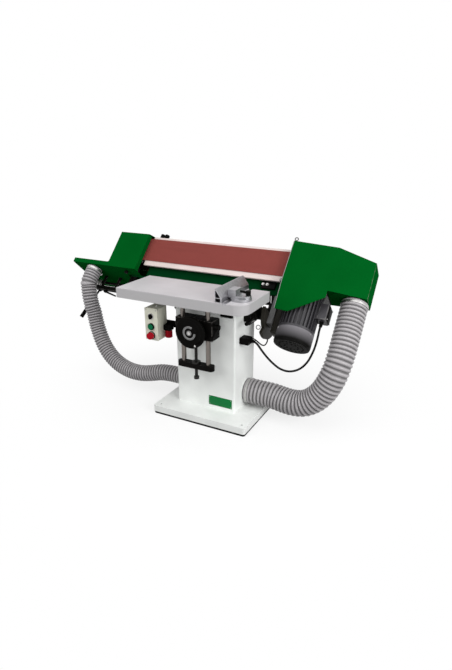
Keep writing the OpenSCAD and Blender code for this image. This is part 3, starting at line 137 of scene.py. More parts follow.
class SanderColours(bpy.types.PropertyGroup):
    """Colours of the machine's finishes."""
    white: colour("White paint", "Base and column", (0.86, 0.88, 0.86))
    grey: colour("Grey paint", "Control box", (0.74, 0.74, 0.62))
    dark_grey: colour("Dark grey paint", "Tilt arms and motor plate", (0.16, 0.16, 0.16))
    green: colour("Green paint", "Hoods", (0.0006, 0.088, 0.0110))
    dark_green: colour("Guard green", "Guard under the belt", (0.001, 0.036, 0.009))
    black: colour("Black paint", "Castings, beam and levers", (0.0035, 0.0032, 0.0028))
    moulded: colour("Black plastic", "Knobs, grips and plugs", (0.0040, 0.0038, 0.0034))
    motor: colour("Motor paint", "Motor housing and terminal box", (0.040, 0.038, 0.043))
    rubber: colour("Rubber", "Base pad and cables", (0.006, 0.006, 0.006))
    red: colour("Red plastic", "Stop button and inlet cap", (0.42, 0.010, 0.020))
    start: colour("Green plastic", "Start button", (0.006, 0.15, 0.06))
    hose: colour("Hose", "Ribbed hoses", (0.315, 0.302, 0.31))
    belt: colour("Abrasive", "Sanding belt", (0.222, 0.047, 0.039))
    table: colour("Table iron", "Ground table top", (0.56, 0.542, 0.56))
    # Grey paint of the table's sides, set darker than the top partly as painted shade
    skirt: colour("Skirt grey", "Painted sides of the table", (0.455, 0.447, 0.455))
    steel: colour("Steel", "Turned and plated steel", (0.55, 0.54, 0.53))
    rod: colour("Guide rod steel", "Ground guide rods", (0.19, 0.17, 0.155))
    aluminium: colour("Aluminium", "Fence", (0.40, 0.398, 0.415))
    # Lips of the platen: silver metal shown as flat paint in the light colour it reflects, a painted
    # reflection
    strip: colour("Platen strip", "Lips of the platen beside the belt", (0.70, 0.60, 0.575))
    sector: colour("Sector paint", "Tilt sector", (0.026, 0.024, 0.019))
    # Painted shade and painted light of the fan cover: darker at its lower, blown end and lighter at its
    # upper end, as the light falls on it
    painted_cover_shade: colour("Painted cover shade", "Blown end of the fan cover", (0.006, 0.006, 0.0055))
    dust: colour("Painted cover light", "Upper end of the fan cover", (0.19, 0.182, 0.195))
    oiled: colour("Oiled steel", "Lead screw and its nut", (0.035, 0.034, 0.033))
    graphite: colour("Graphite", "Cloth under the belt", (0.02, 0.02, 0.02))
    dial: colour("Dial grey", "Dial on the handwheel", (0.24, 0.24, 0.24))
    label: colour("Label green", "Bare plate on the column", (0.002, 0.16, 0.035))


class SanderSizes(bpy.types.PropertyGroup):
    """Sizes of the fine pieces."""
    right_hose_radius: length("Right hose radius", "Over the ribs", 0.069)
    left_hose_radius: length("Left hose radius", "Over the ribs", 0.048)
    right_hose_width: length("Right hose width", "As a cord, at the most that a cord's row takes", 0.12)
    right_rib: length("Right rib spacing", "Along the hose", 0.021)
    left_rib: length("Left rib spacing", "Along the hose", 0.017)
    rib_depth: length("Rib depth", "From crest to valley", 0.006)
    hose_wall: length("Hose wall", "Behind the valleys", 0.003)
    clamp_width: length("Clamp width", "Of the band", 0.011)
    clamp_band: length("Clamp band", "Thickness of the band", 0.0008)
    clamp_gap: length("Clamp gap", "Between ribs and band", 0.0002)
    clamp_inset: length("Clamp inset", "From the end of the hose", 0.021)
    clamp_turn: angle_from("Clamp turn", "Of the screw round the hose", 120)
    hose_sides: IntProperty(name="Hose sides", description="Points round a hose", subtype="UNSIGNED",
                            default=40, min=12)
    right_hose_length: length("Right hose length", "From hood to column", 0.969)
    left_hose_length: length("Left hose length", "From hood to column", 1.171)
    motor_cable_length: length("Motor cable length", "From gland to plug", 0.583)
    switch_cable_length: length("Switch cable length", "From plug to tilt sector", 0.1805)
    motor_cable_width: length("Motor cable width", "Diameter", 0.011)
    switch_cable_width: length("Switch cable width", "Diameter", 0.007)
    screw_width: length("Lead screw width", "Over the thread", 0.016)
    thread_pitch: length("Thread pitch", "Between grooves", 0.004)
    thread_depth: length("Thread depth", "Of a groove", 0.0014)
    label_left: length("Label left", "Left edge of the bare plate", 0.008)
    label_low: length("Label low", "Lower edge of the bare plate", 0.068)
    label_wide: length("Label width", "Of the bare plate", 0.138)
    label_tall: length("Label height", "Of the bare plate", 0.054)
    label_thick: length("Label thickness", "Of the bare plate", 0.0012)


class SanderStage(bpy.types.PropertyGroup):
    """Camera and light."""
    eye: FloatVectorProperty(name="Camera place", description="Where the camera stands", unit="LENGTH",
                             subtype="TRANSLATION", default=(1.191, -2.192, 1.356))
    pitch: angle_from("Camera pitch", "Down from level", 20.5)
    heading: angle_from("Camera heading", "Turn about the vertical", 27.5)
    lens: FloatProperty(name="Lens", description="Focal length in millimetres", unit="CAMERA", default=26.73)
    key_power: watts("Key light", "Power of the front softbox", 44)
    top_power: watts("Top light", "Power of the overhead softbox", 38)
    side_power: watts("Side light", "Power of the right softbox", 74)
    ambient: portion("Ambient", "Strength of the even light", 0.46)
    floor_white: portion("Floor white", "Share of plain white on the near floor", 0.75)
    floor_bounce: portion("Floor bounce", "Light that the floor sends back to the machine", 0.3)


def colours():
    """The scene's colours."""
    return bpy.context.scene.sander_colours


def sizes():
    """The scene's sizes."""
    return bpy.context.scene.sander_sizes


# Shader nodes

def add_node(tree, kind, values=None, **settings):
    """Adds a shader node with its settings, then the values of its inputs."""
    node = tree.nodes.new("ShaderNode" + kind)
    for name, setting in settings.items():
        setattr(node, name, setting)
    for name, value in (values or {}).items():
        node.inputs[name].default_value = value
    return node


def ranged(tree, value, from_low, from_high, to_low=0.0, to_high=1.0, **settings):
    """Value mapped from one range to another."""
    limits = {"From Min": from_low, "From Max": from_high, "To Min": to_low, "To Max": to_high}
    spread = add_node(tree, "MapRange", limits, **settings)
    tree.links.new(value, spread.inputs["Value"])
    return spread.outputs["Result"]


def both(tree, operation, first, second):
    """Result of an operation on two values."""
    node = add_node(tree, "Math", operation=operation)
    tree.links.new(first, node.inputs[0])
    tree.links.new(second, node.inputs[1])
    return node.outputs["Value"]


def mixed(tree, factor, first, second):
    """Colour between two, each a plain colour or the output of a node."""
    mix = add_node(tree, "Mix", data_type="RGBA")
    tree.links.new(factor, mix.inputs["Factor"])
    for name, tint in (("A", first), ("B", second)):
        if isinstance(tint, bpy.types.NodeSocket):
            tree.links.new(tint, mix.inputs[name])
        else:
            mix.inputs[name].default_value = (*tint, 1)
    return mix.outputs["Result"]


def mixed_shaders(tree, factor, first, second):
    """Shader between two."""
    mix = add_node(tree, "MixShader")
    tree.links.new(factor, mix.inputs["Fac"])
    tree.links.new(first, mix.inputs[1])
    tree.links.new(second, mix.inputs[2])
    return mix.outputs["Shader"]


def marked(tree, name):
    """Value of one of the piece's own attributes."""
    return add_node(tree, "Attribute", attribute_name=name).outputs["Fac"]


def own_place(tree):
    """Place in the piece's own coordinates."""
    return add_node(tree, "TexCoord").outputs["Object"]


def grain(tree, scale, detail=4.0, stretch=(1, 1, 1)):
    """Noise on the piece's own coordinates, drawn out by stretch."""
    turn = add_node(tree, "Mapping", {"Scale": stretch})
    noise = add_node(tree, "TexNoise", {"Scale": scale, "Detail": detail})
    tree.links.new(own_place(tree), turn.inputs["Vector"])
    tree.links.new(turn.outputs["Vector"], noise.inputs["Vector"])
    return noise.outputs[0]


def seen_directly(tree):
    """1 for rays that show the white ground: from the camera, in gloss and through glass."""
    path = add_node(tree, "LightPath").outputs
    either = both(tree, "MAXIMUM", path["Is Camera Ray"], path["Is Glossy Ray"])
    return both(tree, "MAXIMUM", either, path["Is Transmission Ray"])


# Materials

# Height along the face at which the fan cover's painted shade is darkest and its painted light palest
COVER_DARK = FACE_UP.dot(HEAD.translation) - 0.146
COVER_PALE = COVER_DARK + 0.062

# Depth under the table's top at which its ground face gives way to the sides' paint, set darker partly as
# painted shade
GROUND_LOW = 0.0045
GROUND_HIGH = 0.0035

# Colours of the rounded edges: wear down to bare metal, and painted highlight where the light catches an edge
BARE_AND_HIGHLIT_SHEET = (0.30, 0.29, 0.28)
BARE_AND_HIGHLIT_CASTING = (0.16, 0.15, 0.14)
BARE_AND_HIGHLIT_IRON = (0.85, 0.84, 0.85)
ALONG_BELT = (0.04, 1, 1)


def new_material(name, tint, roughness, metallic=0.0, gloss=0.3):
    """Principled material whose even values stand on the shader's own sockets."""
    material = bpy.data.materials.new(name)
    material.use_nodes = True
    shader = material.node_tree.nodes["Principled BSDF"]
    shader.inputs["Base Color"].default_value = (*tint, 1)
    shader.inputs["Roughness"].default_value = roughness
    shader.inputs["Metallic"].default_value = metallic
    shader.inputs["Specular IOR Level"].default_value = gloss
    return material.node_tree, shader


def shade(tree, shader, factor, darker, lighter, low=0.3, high=0.7):
    """Colour that runs from darker to lighter with the factor."""
    ramp = add_node(tree, "ValToRGB")
    for stop, place, tint in zip(ramp.color_ramp.elements, (low, high), (darker, lighter)):
        stop.position = place
        stop.color = (*tint, 1)
    tree.links.new(factor, ramp.inputs["Fac"])
    tree.links.new(ramp.outputs["Color"], shader.inputs["Base Color"])
    return ramp.outputs["Color"]


def sheen(tree, shader, factor, low, high):
    """Roughness that runs from low to high with the factor."""
    tree.links.new(ranged(tree, factor, 0, 1, low, high), shader.inputs["Roughness"])


def relief(tree, shader, height, distance, strength=0.5):
    """Fine bumps of the given height in metres."""
    bump = add_node(tree, "Bump", {"Strength": strength, "Distance": distance})
    tree.links.new(height, bump.inputs["Height"])
    tree.links.new(bump.outputs["Normal"], shader.inputs["Normal"])


def orange_peel(tree, shader):
    """Faint bumps of sprayed paint."""
    relief(tree, shader, grain(tree, scale=420, detail=2), distance=0.00012)


def toned(tint, share):
    """Colour made darker or lighter."""
    return tuple(min(1.0, channel * share) for channel in tint)


def worn_and_highlit_edges(tree, shader, tint, bare, amount):
    """Bare metal and painted highlight on the faces of the rounded edges, which the piece's attribute marks,
    broken up by noise.
    """
    patchy = ranged(tree, grain(tree, scale=45, detail=6), 0.4, 0.6, to_high=amount)
    worn = both(tree, "MULTIPLY", patchy, marked(tree, "rubbed"))
    tree.links.new(mixed(tree, worn, tint, bare), shader.inputs["Base Color"])


def paint(name, tint, roughness, gloss=0.3, edge_wear_and_highlight=0.0):
    """Sprayed paint with a faint orange peel and slight unevenness."""
    tree, shader = new_material(name, tint, roughness, gloss=gloss)
    cloud = grain(tree, scale=7, detail=5)
    uneven = shade(tree, shader, cloud, toned(tint, 0.93), toned(tint, 1.05))
    sheen(tree, shader, cloud, roughness - 0.04, roughness + 0.06)
    orange_peel(tree, shader)
    # Rounded edges lightened by wear and painted highlight
    if edge_wear_and_highlight:
        worn_and_highlit_edges(tree, shader, uneven, BARE_AND_HIGHLIT_SHEET, edge_wear_and_highlight)


def cover_paint(name, upper):
    """Paint of the fan cover with painted shade that darkens towards its blown end and painted light towards
    its upper end, along the motor's axis.
    """
    tree, shader = new_material(name, upper, roughness=0.45, gloss=0.03)
    along = add_node(tree, "VectorMath", {1: FACE_UP}, operation="DOT_PRODUCT")
    tree.links.new(own_place(tree), along.inputs[0])
    height = ranged(tree, along.outputs["Value"], COVER_DARK, COVER_PALE)
    shade(tree, shader, height, colours().painted_cover_shade, upper, low=0.05, high=1.0)
    orange_peel(tree, shader)


def casting(name, tint, roughness):
    """Painted iron with a sandy skin, and edges lightened by wear and painted highlight."""
    tree, shader = new_material(name, tint, roughness, gloss=0.035)
    cloud = grain(tree, scale=35, detail=6)
    uneven = shade(tree, shader, cloud, toned(tint, 0.75), toned(tint, 1.4))
    sheen(tree, shader, cloud, roughness - 0.08, roughness + 0.1)
    relief(tree, shader, grain(tree, scale=260, detail=5), distance=0.0006, strength=0.6)
    worn_and_highlit_edges(tree, shader, uneven, BARE_AND_HIGHLIT_CASTING, amount=0.7)


def machined(name, tint, roughness, stretch=(1, 1, 1)):
    """Bare metal with tool marks drawn out along one direction."""
    tree, shader = new_material(name, tint, roughness, metallic=1.0)
    marks = grain(tree, scale=90, detail=3, stretch=stretch)
    shade(tree, shader, marks, toned(tint, 0.82), toned(tint, 1.1))
    sheen(tree, shader, marks, roughness - 0.08, roughness + 0.12)
    relief(tree, shader, marks, distance=0.00008)


def moulded(name, tint, roughness):
    """Moulded plastic with a fine spark-eroded grain."""
    tree, shader = new_material(name, tint, roughness, gloss=0.02)
    cloud = grain(tree, scale=25)
    shade(tree, shader, cloud, toned(tint, 0.88), toned(tint, 1.12))
    sheen(tree, shader, cloud, roughness - 0.05, roughness + 0.08)
    relief(tree, shader, grain(tree, scale=900, detail=2), distance=0.00015)


def ground_iron(name, tint):
    """Table iron: ground bright with long marks and a faint patina on top, painted below the top's height in
    a grey that is partly painted shade.
    """
    tree, shader = new_material(name, tint, roughness=0.42, metallic=0.05)
    marks = grain(tree, scale=130, detail=3, stretch=ALONG_BELT)
    patina = shade(tree, shader, grain(tree, scale=6, detail=6), toned(tint, 0.9), toned(tint, 1.06))
    split = add_node(tree, "SeparateXYZ")
    tree.links.new(own_place(tree), split.inputs["Vector"])
    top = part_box("table_top")[1].z
    # Below the top: the sides' grey paint, darker partly as painted shade
    above = ranged(tree, split.outputs["Z"], top - GROUND_LOW, top - GROUND_HIGH)
    sheen(tree, shader, marks, 0.36, 0.5)
    relief(tree, shader, marks, distance=0.00006)
    # Rounded edges of the table lightened by wear and painted highlight
    worn_and_highlit_edges(tree, shader, mixed(tree, above, colours().skirt, patina), BARE_AND_HIGHLIT_IRON, amount=0.8)


def ribbed_plastic(name, tint):
    """Hose wall: dirt and painted shade darken the valleys, which the rib attribute marks, and painted
    highlight lightens the crests.
    """
    tree, shader = new_material(name, tint, roughness=0.4, gloss=0.25)
    # Painted shade in the valleys and painted highlight on the crests
    shade(tree, shader, marked(tree, "rib"), toned(tint, 0.34), toned(tint, 1.3), low=0.05, high=0.9)
    sheen(tree, shader, grain(tree, scale=40), 0.32, 0.5)
    relief(tree, shader, grain(tree, scale=300, detail=3), distance=0.0002)


def abrasive(name, tint):
    """Grit on cloth: coarse grains, speckle and worn streaks along the belt."""
    tree, shader = new_material(name, tint, roughness=0.75, gloss=0.15)
    grit = add_node(tree, "TexVoronoi", {"Scale": 1100})
    tree.links.new(own_place(tree), grit.inputs["Vector"])
    speckle = grain(tree, scale=700, detail=6)
    speckled = shade(tree, shader, speckle, toned(tint, 0.72), toned(tint, 1.28), low=0.35, high=0.65)
    streaks = ranged(tree, grain(tree, scale=30, stretch=(0.05, 1, 1)), 0.5, 0.75, to_high=0.35)
    tree.links.new(mixed(tree, streaks, speckled, toned(tint, 0.75)), shader.inputs["Base Color"])
    relief(tree, shader, grit.outputs[0], distance=0.0006, strength=0.8)


def rubber_skin(name, tint):
    """Matt rubber with a faint bloom."""
    tree, shader = new_material(name, tint, roughness=0.6, gloss=0.08)
    shade(tree, shader, grain(tree, scale=18, detail=5), toned(tint, 0.8), toned(tint, 1.6))
    relief(tree, shader, grain(tree, scale=500, detail=3), distance=0.0002)


# Maker, colour and values of each finish
FINISHES = {
    "white_paint": (paint, "white", {"roughness": 0.36}),
    "grey_paint": (paint, "grey", {"roughness": 0.42}),
    "dark_grey_paint": (paint, "dark_grey", {"roughness": 0.42, "gloss": 0.2}),
    "green_paint": (paint, "green", {"roughness": 0.5, "gloss": 0.0, "edge_wear_and_highlight": 0.5}),
    "dark_green_paint": (paint, "dark_green", {"roughness": 0.5, "gloss": 0.0}),
    "motor_black": (paint, "motor", {"roughness": 0.4, "gloss": 0.35, "edge_wear_and_highlight": 0.4}),
    "black_casting": (casting, "black", {"roughness": 0.45}),
    "black_plastic": (moulded, "moulded", {"roughness": 0.4}),
    "red_plastic": (moulded, "red", {"roughness": 0.28}),
    "green_plastic": (moulded, "start", {"roughness": 0.3}),
    "rubber": (rubber_skin, "rubber", {}),
    "cable_black": (rubber_skin, "rubber", {}),
    "graphite": (rubber_skin, "graphite", {}),
    "hose_grey": (ribbed_plastic, "hose", {}),
    "abrasive": (abrasive, "belt", {}),
    "table_iron": (ground_iron, "table", {}),
    "dial_grey": (paint, "dial", {"roughness": 0.4}),
    # Painted reflection: the platen's silver lips as flat paint
    "platen_strip": (paint, "strip", {"roughness": 0.4}),
    "sector_paint": (paint, "sector", {"roughness": 0.45, "gloss": 0.1}),
    # The fan cover's finish paints shade on its lower end and light on its upper end
    "cover_paint": (cover_paint, "dust", {}),
    "label_green": (paint, "label", {"roughness": 0.3, "gloss": 0.15}),
    "zinc_steel": (machined, "steel", {"roughness": 0.34}),
    "bright_steel": (machined, "rod", {"roughness": 0.25, "stretch": (1, 1, 0.04)}),
    "aluminium": (machined, "aluminium", {"roughness": 0.36, "stretch": (0.05, 1, 1)}),
    "drum_aluminium": (machined, "steel", {"roughness": 0.35}),
    "oiled_steel": (machined, "oiled", {"roughness": 0.4, "stretch": (1, 1, 0.2)}),
}


def finish(kind):
    """A finish, made at its first use."""
    name = kind + " finish"
    if name not in bpy.data.materials:
        make, tint, values = FINISHES[kind]
        make(name, getattr(colours(), tint), **values)
    return bpy.data.materials[name]


# Meshes

FLAT = math.radians(0.6)
SHARP = math.radians(35)
WELD = 0.00001
BEVEL_STEPS = 2
CABLE_STEP = 0.004
CABLE_SIDES = 16
RIB_HEIGHT_SHARES = (0.0, 0.3, 0.85, 1.0, 0.85, 0.3)
WIRE_SIDES = 8

# Shares of a clamp's width: its screw housing, and the rise, radius and length of its screw
CLAMP_HOUSING = 0.7
CLAMP_SCREW_RISE = 0.3
CLAMP_SCREW_RADIUS = 0.35
CLAMP_SCREW_LENGTH = 0.6

# A screw's profile in shares of its radius, a washer's thickness in shares of its radius, and a bolt's head
# and its rounding in shares of its width
SCREW_PROFILE = ((0, 0.35), (0.42, 0.35), (0.42, 0.7), (0.75, 0.7), (0.95, 0.5), (1, 0.3), (1, 0), (0, 0))
WASHER_THICK = 0.12
BOLT_HEAD = 0.62
BOLT_ROUND = 0.06

# Finishes that differ from the node's own slot
SHOWN_AS = {"platen": "platen_strip", "terminal_box": "motor_black", "tilt_sector": "sector_paint",
            "fan_cover": "cover_paint"}


def smooth_by_angle(bm):
    """Smooth faces that break at sharp edges."""
    for face in bm.faces:
        face.smooth = True
    for edge in bm.edges:
        edge.smooth = not edge.is_manifold or edge.calc_face_angle(0) < SHARP


def set_piece(name, bm, body, slot, finish_name=None):
    """Makes the mesh a piece that rides on a body."""
    smooth_by_angle(bm)
    mesh = bpy.data.meshes.new(name)
    bm.to_mesh(mesh)
    bm.free()
    piece = bpy.data.objects.new(name, mesh)
    bpy.context.scene.collection.objects.link(piece)
    mesh.materials.append(finish(finish_name or slot))
    if body:
        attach(piece, body)
    return piece


def edges_of(verts):
    """Edges that end at the points, each once."""
    return list(dict.fromkeys(edge for vert in verts for edge in vert.link_edges))


def bevelled(bm, edges, width, segments=BEVEL_STEPS):
    """Rounds edges, and gives what that made."""
    return bmesh.ops.bevel(bm, geom=edges, offset=width, offset_type="OFFSET", affect="EDGES",
                           segments=segments, profile=0.5, material=-1, clamp_overlap=True)


def eased(node, width, least=0.0, segments=BEVEL_STEPS, pick=None):
    """Copy of a CAD node with rounded outer edges, where both faces are at least as large as asked."""
    bm = bmesh.new()
    bm.from_mesh(frame["nodes"][node].data)
    # Faces of the new bevels are marked for wear and painted highlight
    rubbed = bm.faces.layers.float.new("rubbed")
    bmesh.ops.remove_doubles(bm, verts=bm.verts, dist=WELD)
    bmesh.ops.dissolve_limit(bm, angle_limit=FLAT, verts=bm.verts, edges=bm.edges)
    sharp = [edge for edge in bm.edges if edge.is_manifold and edge.calc_face_angle(0) > SHARP
             and min(face.calc_area() for face in edge.link_faces) >= least and (pick is None or pick(edge))]
    for face in bevelled(bm, sharp, width, segments)["faces"]:
        face[rubbed] = 1
    piece = set_piece(node + "_eased", bm, BODY_OF[node], SLOT_OF[node], SHOWN_AS.get(node))
    weighted = piece.modifiers.new("Weighted normals", "WEIGHTED_NORMAL")
    weighted.keep_sharp = True
    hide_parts(node)


def facing(point, direction):
    """Place at a point with its z along a direction."""
    return Matrix.Translation(point) @ Vector(direction).to_track_quat("Z", "Y").to_matrix().to_4x4()


def on_head(x, w, v):
    """Point of the head, given in millimetres along the belt, out of its face and up its face."""
    return HEAD @ Vector((x * MM, -w * MM, v * MM))


def head_way(x, w, v):
    """Direction of the head's own frame."""
    return HEAD.to_3x3() @ Vector((x, -w, v))


def inset_corners(low, high, inset):
    """Places (x, z) inside the four corners of an upright plate."""
    return [(x, z) for x in (low.x + inset, high.x - inset) for z in (low.z + inset, high.z - inset)]


def add_turned(bm, profile, place, steps=48, angle=math.tau):
    """Adds a shape turned about z of a place, from a profile of (radius, height) points in millimetres."""
    before = set(bm.verts)
    verts = [bm.verts.new((r * MM, 0, h * MM)) for r, h in profile]
    pairs = list(zip(verts, verts[1:]))
    if profile[0][0]:
        pairs.append((verts[-1], verts[0]))
    loop = [bm.edges.new(pair) for pair in pairs]
    bmesh.ops.spin(bm, geom=verts + loop, cent=(0, 0, 0), axis=UP, dvec=(0, 0, 0), angle=angle,
                   steps=steps, use_merge=angle == math.tau)
    bmesh.ops.remove_doubles(bm, verts=[vert for vert in bm.verts if vert not in before], dist=WELD)
    made = [vert for vert in bm.verts if vert not in before]
    ends = [edge for edge in edges_of(made) if edge.is_boundary]
    if ends:
        bmesh.ops.holes_fill(bm, edges=ends, sides=0)
    bmesh.ops.recalc_face_normals(bm, faces=list({face for vert in made for face in vert.link_faces}))
    bmesh.ops.transform(bm, matrix=place, verts=made)


def turned(profile, place, steps=48, angle=math.tau):
    """Mesh of one turned shape."""
    bm = bmesh.new()
    add_turned(bm, profile, place, steps, angle)
    return bm


def hoop(radius, wire):
    """Profile of a wire ring, in millimetres."""
    turns = [math.tau * k / WIRE_SIDES for k in range(WIRE_SIDES)]
    return [(radius + wire * math.cos(turn), wire * math.sin(turn)) for turn in turns]


def add_box(bm, low, high, place=Matrix(), round_by=0.0):
    """Adds a box with rounded edges, given by two corners in a place."""
    low, high = Vector(low), Vector(high)
    size = high - low
    made = bmesh.ops.create_cube(bm, size=1, matrix=Matrix.Diagonal((*size, 1)))["verts"]
    bmesh.ops.translate(bm, vec=(low + high) / 2, verts=made)
    if round_by:
        made = bevelled(bm, edges_of(made), round_by)["verts"]
    bmesh.ops.transform(bm, matrix=place, verts=made)


def add_rod(bm, place, radius, rise, sides=24, top_radius=None, round_by=0.0):
    """Adds a rod or cone that rises along z of a place."""
    made = bmesh.ops.create_cone(bm, cap_ends=True, segments=sides, radius1=radius,
                                 radius2=radius if top_radius is None else top_radius, depth=rise)["verts"]
    bmesh.ops.translate(bm, vec=(0, 0, rise / 2), verts=made)
    if round_by:
        rim = [edge for edge in edges_of(made) if all(vert.co.z > rise - WELD for vert in edge.verts)]
        made = [vert for vert in {*made, *bevelled(bm, rim, round_by)["verts"]} if vert.is_valid]
    bmesh.ops.transform(bm, matrix=place, verts=made)


def add_screw(bm, place, radius):
    """Adds a pan-head screw with a round socket, radius in millimetres."""
    add_turned(bm, [(out * radius, up * radius) for out, up in SCREW_PROFILE], place, steps=12)


def add_hex_bolt(bm, place, across, washer):
    """Adds a hexagon head on its washer, sizes in millimetres."""
    thick = WASHER_THICK * washer
    add_turned(bm, [(0, 0), (washer, 0), (washer, thick), (0, thick)], place, steps=20)
    width = across * MM
    raised = place @ Matrix.Translation((0, 0, thick * MM))
    add_rod(bm, raised, width / math.sqrt(3), BOLT_HEAD * width, sides=6, round_by=BOLT_ROUND * width)


# Hoses and cables

def smooth_route(route, steps=12):
    """Points of a smooth curve through a route."""
    points = [Vector(p) for p in route]
    ends = [2 * points[0] - points[1], *points, 2 * points[-1] - points[-2]]
    curve = []
    for i in range(len(points) - 1):
        a, b, c, d = ends[i:i + 4]
        for k in range(steps):
            t = k / steps
            curve.append(0.5 * (2 * b + (c - a) * t + (2 * a - 5 * b + 4 * c - d) * t * t
                                + (3 * b - a - 3 * c + d) * t ** 3))
    return [*curve, points[-1]]


def even_places(route, count):
    """Evenly spaced ring places along a route, each with its matrix, z along the route."""
    curve = smooth_route(route)
    runs = [0.0]
    for a, b in zip(curve, curve[1:]):
        runs.append(runs[-1] + (b - a).length)
    side = -(HEAD.to_3x3() @ Vector(BACKWARD))
    places, i = [], 0
    for k in range(count + 1):
        want = runs[-1] * k / count
        while i < len(runs) - 2 and runs[i + 1] < want:
            i += 1
        share = (want - runs[i]) / (runs[i + 1] - runs[i])
        ahead = (curve[min(i + 2, len(curve) - 1)] - curve[max(i - 1, 0)]).normalized()
        across = ahead.cross(side).normalized()
        turn = Matrix((across, ahead.cross(across), ahead)).transposed().to_4x4()
        places.append(Matrix.Translation(curve[i].lerp(curve[i + 1], share)) @ turn)
    return places


def swept_ring(bm, edges, start, end, start_radius, end_radius):
    """Draws a ring of edges out from one place to the next and resizes it."""
    drawn = bmesh.ops.extrude_edge_only(bm, edges=edges)["geom"]
    verts = [part for part in drawn if isinstance(part, bmesh.types.BMVert)]
    step = end @ Matrix.Scale(end_radius / start_radius, 4) @ start.inverted()
    bmesh.ops.transform(bm, matrix=step, verts=verts)
    return verts, [part for part in drawn if isinstance(part, bmesh.types.BMEdge)]


def hose_clamp(name, body, place, radius):
    """Worm-drive band with its screw housing."""
    s = sizes()
    inner = radius + s.clamp_gap
    outer = inner + s.clamp_band
    wide = s.clamp_width
    half = wide / 2
    band = ((inner, -half), (outer, -half), (outer, half), (inner, half))
    bm = turned([(r / MM, h / MM) for r, h in band], place)
    housing = place @ Matrix.Rotation(s.clamp_turn, 4, "Z") @ Matrix.Translation((outer, 0, 0))
    add_box(bm, (-s.clamp_band, -wide, -half), (wide * CLAMP_HOUSING, wide, half), housing, s.clamp_band)
    side = Matrix.Translation((wide * CLAMP_SCREW_RISE, wide, 0))
    screw = housing @ side @ Matrix.Rotation(-math.pi / 2, 4, "X")
    add_rod(bm, screw, wide * CLAMP_SCREW_RADIUS, wide * CLAMP_SCREW_LENGTH, sides=6)
    return set_piece(name, bm, body, "zinc_steel")


def ribbed_hose(name, node, route, radius, rib, real_length):
    """Ribbed hose with its bore, bent between the stand and the head."""
    s = sizes()
    valley = radius - s.rib_depth
    bore = valley - s.hose_wall
    ribs = round(real_length / rib)
    per_rib = len(RIB_HEIGHT_SHARES)
    places = even_places(route, ribs * per_rib)
    bm = bmesh.new()
    # Rib height, which the hose's finish turns into painted shade and painted highlight
    depth = bm.verts.layers.float.new("rib")
    ring = bmesh.ops.create_circle(bm, segments=s.hose_sides, radius=valley, matrix=places[0])
    first = edges_of(ring["verts"])
    edges, last_radius = first, valley
    for i in range(1, len(places)):
        share = RIB_HEIGHT_SHARES[i % per_rib]
        out = valley + share * s.rib_depth
        verts, edges = swept_ring(bm, edges, places[i - 1], places[i], last_radius, out)
        for vert in verts:
            vert[depth] = share
        last_radius = out
    edges = swept_ring(bm, edges, places[-1], places[-1], last_radius, bore)[1]
    for i in range(len(places) - 1 - per_rib, -1, -per_rib):
        edges = swept_ring(bm, edges, places[i + per_rib], places[i], bore, bore)[1]
    bmesh.ops.bridge_loops(bm, edges=edges + first)
    bmesh.ops.recalc_face_normals(bm, faces=bm.faces)
    hose = set_piece(name, bm, None, SLOT_OF[node])
    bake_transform(hose)
    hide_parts(node)
    inset = per_rib * round(s.clamp_inset / rib)
    hood_clamp = hose_clamp(name + "_hood_clamp", "head", places[inset], radius)
    wall_clamp = hose_clamp(name + "_wall_clamp", "stand", places[-1 - inset], radius)


def plain_cable(name, node, route, width, real_length):
    """Round cable bent between the stand and the head."""
    places = even_places(route, round(real_length / CABLE_STEP))
    radius = width / 2
    bm = bmesh.new()
    ring = bmesh.ops.create_circle(bm, segments=CABLE_SIDES, radius=radius, matrix=places[0], cap_ends=True)
    edges = edges_of(ring["verts"])
    for start, end in zip(places, places[1:]):
        edges = swept_ring(bm, edges, start, end, radius, radius)[1]
    bmesh.ops.contextual_create(bm, geom=edges)
    bmesh.ops.recalc_face_normals(bm, faces=bm.faces)
    cable = set_piece(name, bm, None, SLOT_OF[node])
    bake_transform(cable)
    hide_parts(node)


class SANDER_OT_hoses(bpy.types.Operator):
    """Ribbed dust hoses from the hoods to the column"""
    bl_idname = "sander.hoses"
    bl_label = "Dust hoses"

    def execute(self, context):
        s = sizes()
        ribbed_hose("right_dust_hose", "right_hose", RIGHT_HOSE_ROUTE, s.right_hose_radius, s.right_rib,
                    s.right_hose_length)
        ribbed_hose("left_dust_hose", "left_hose", LEFT_HOSE_ROUTE, s.left_hose_radius, s.left_rib,
                    s.left_hose_length)
        return {"FINISHED"}


class SANDER_OT_cables(bpy.types.Operator):
    """Motor cable and switch cable"""
    bl_idname = "sander.cables"
    bl_label = "Cables"

    def execute(self, context):
        s = sizes()
        plain_cable("motor_lead", "motor_cable", MOTOR_CABLE_ROUTE, s.motor_cable_width, s.motor_cable_length)
        plain_cable("switch_lead", "switch_cable", SWITCH_CABLE_ROUTE, s.switch_cable_width,
                    s.switch_cable_length)
        return {"FINISHED"}


# Stage

# Name, place, size and power of each softbox
SOFTBOXES = (
    ("Key softbox", (-1.9, -2.6, 2.3), 2.4, "key_power"),
    ("Top softbox", (0.2, -0.3, 3.6), 3.4, "top_power"),
    ("Side softbox", (3.0, -1.2, 1.7), 1.8, "side_power"),
)
MACHINE_MIDDLE = Vector((-0.1, 0, 0.5))
FLOOR_HALF = 40
FLOOR_DROP = 0.0005
FLOOR_FINISH = "Floor white"
FLOOR_COLOUR = (0.94, 0.94, 0.94)
FLOOR_NEAR = 0.3
FLOOR_FAR = 1.3


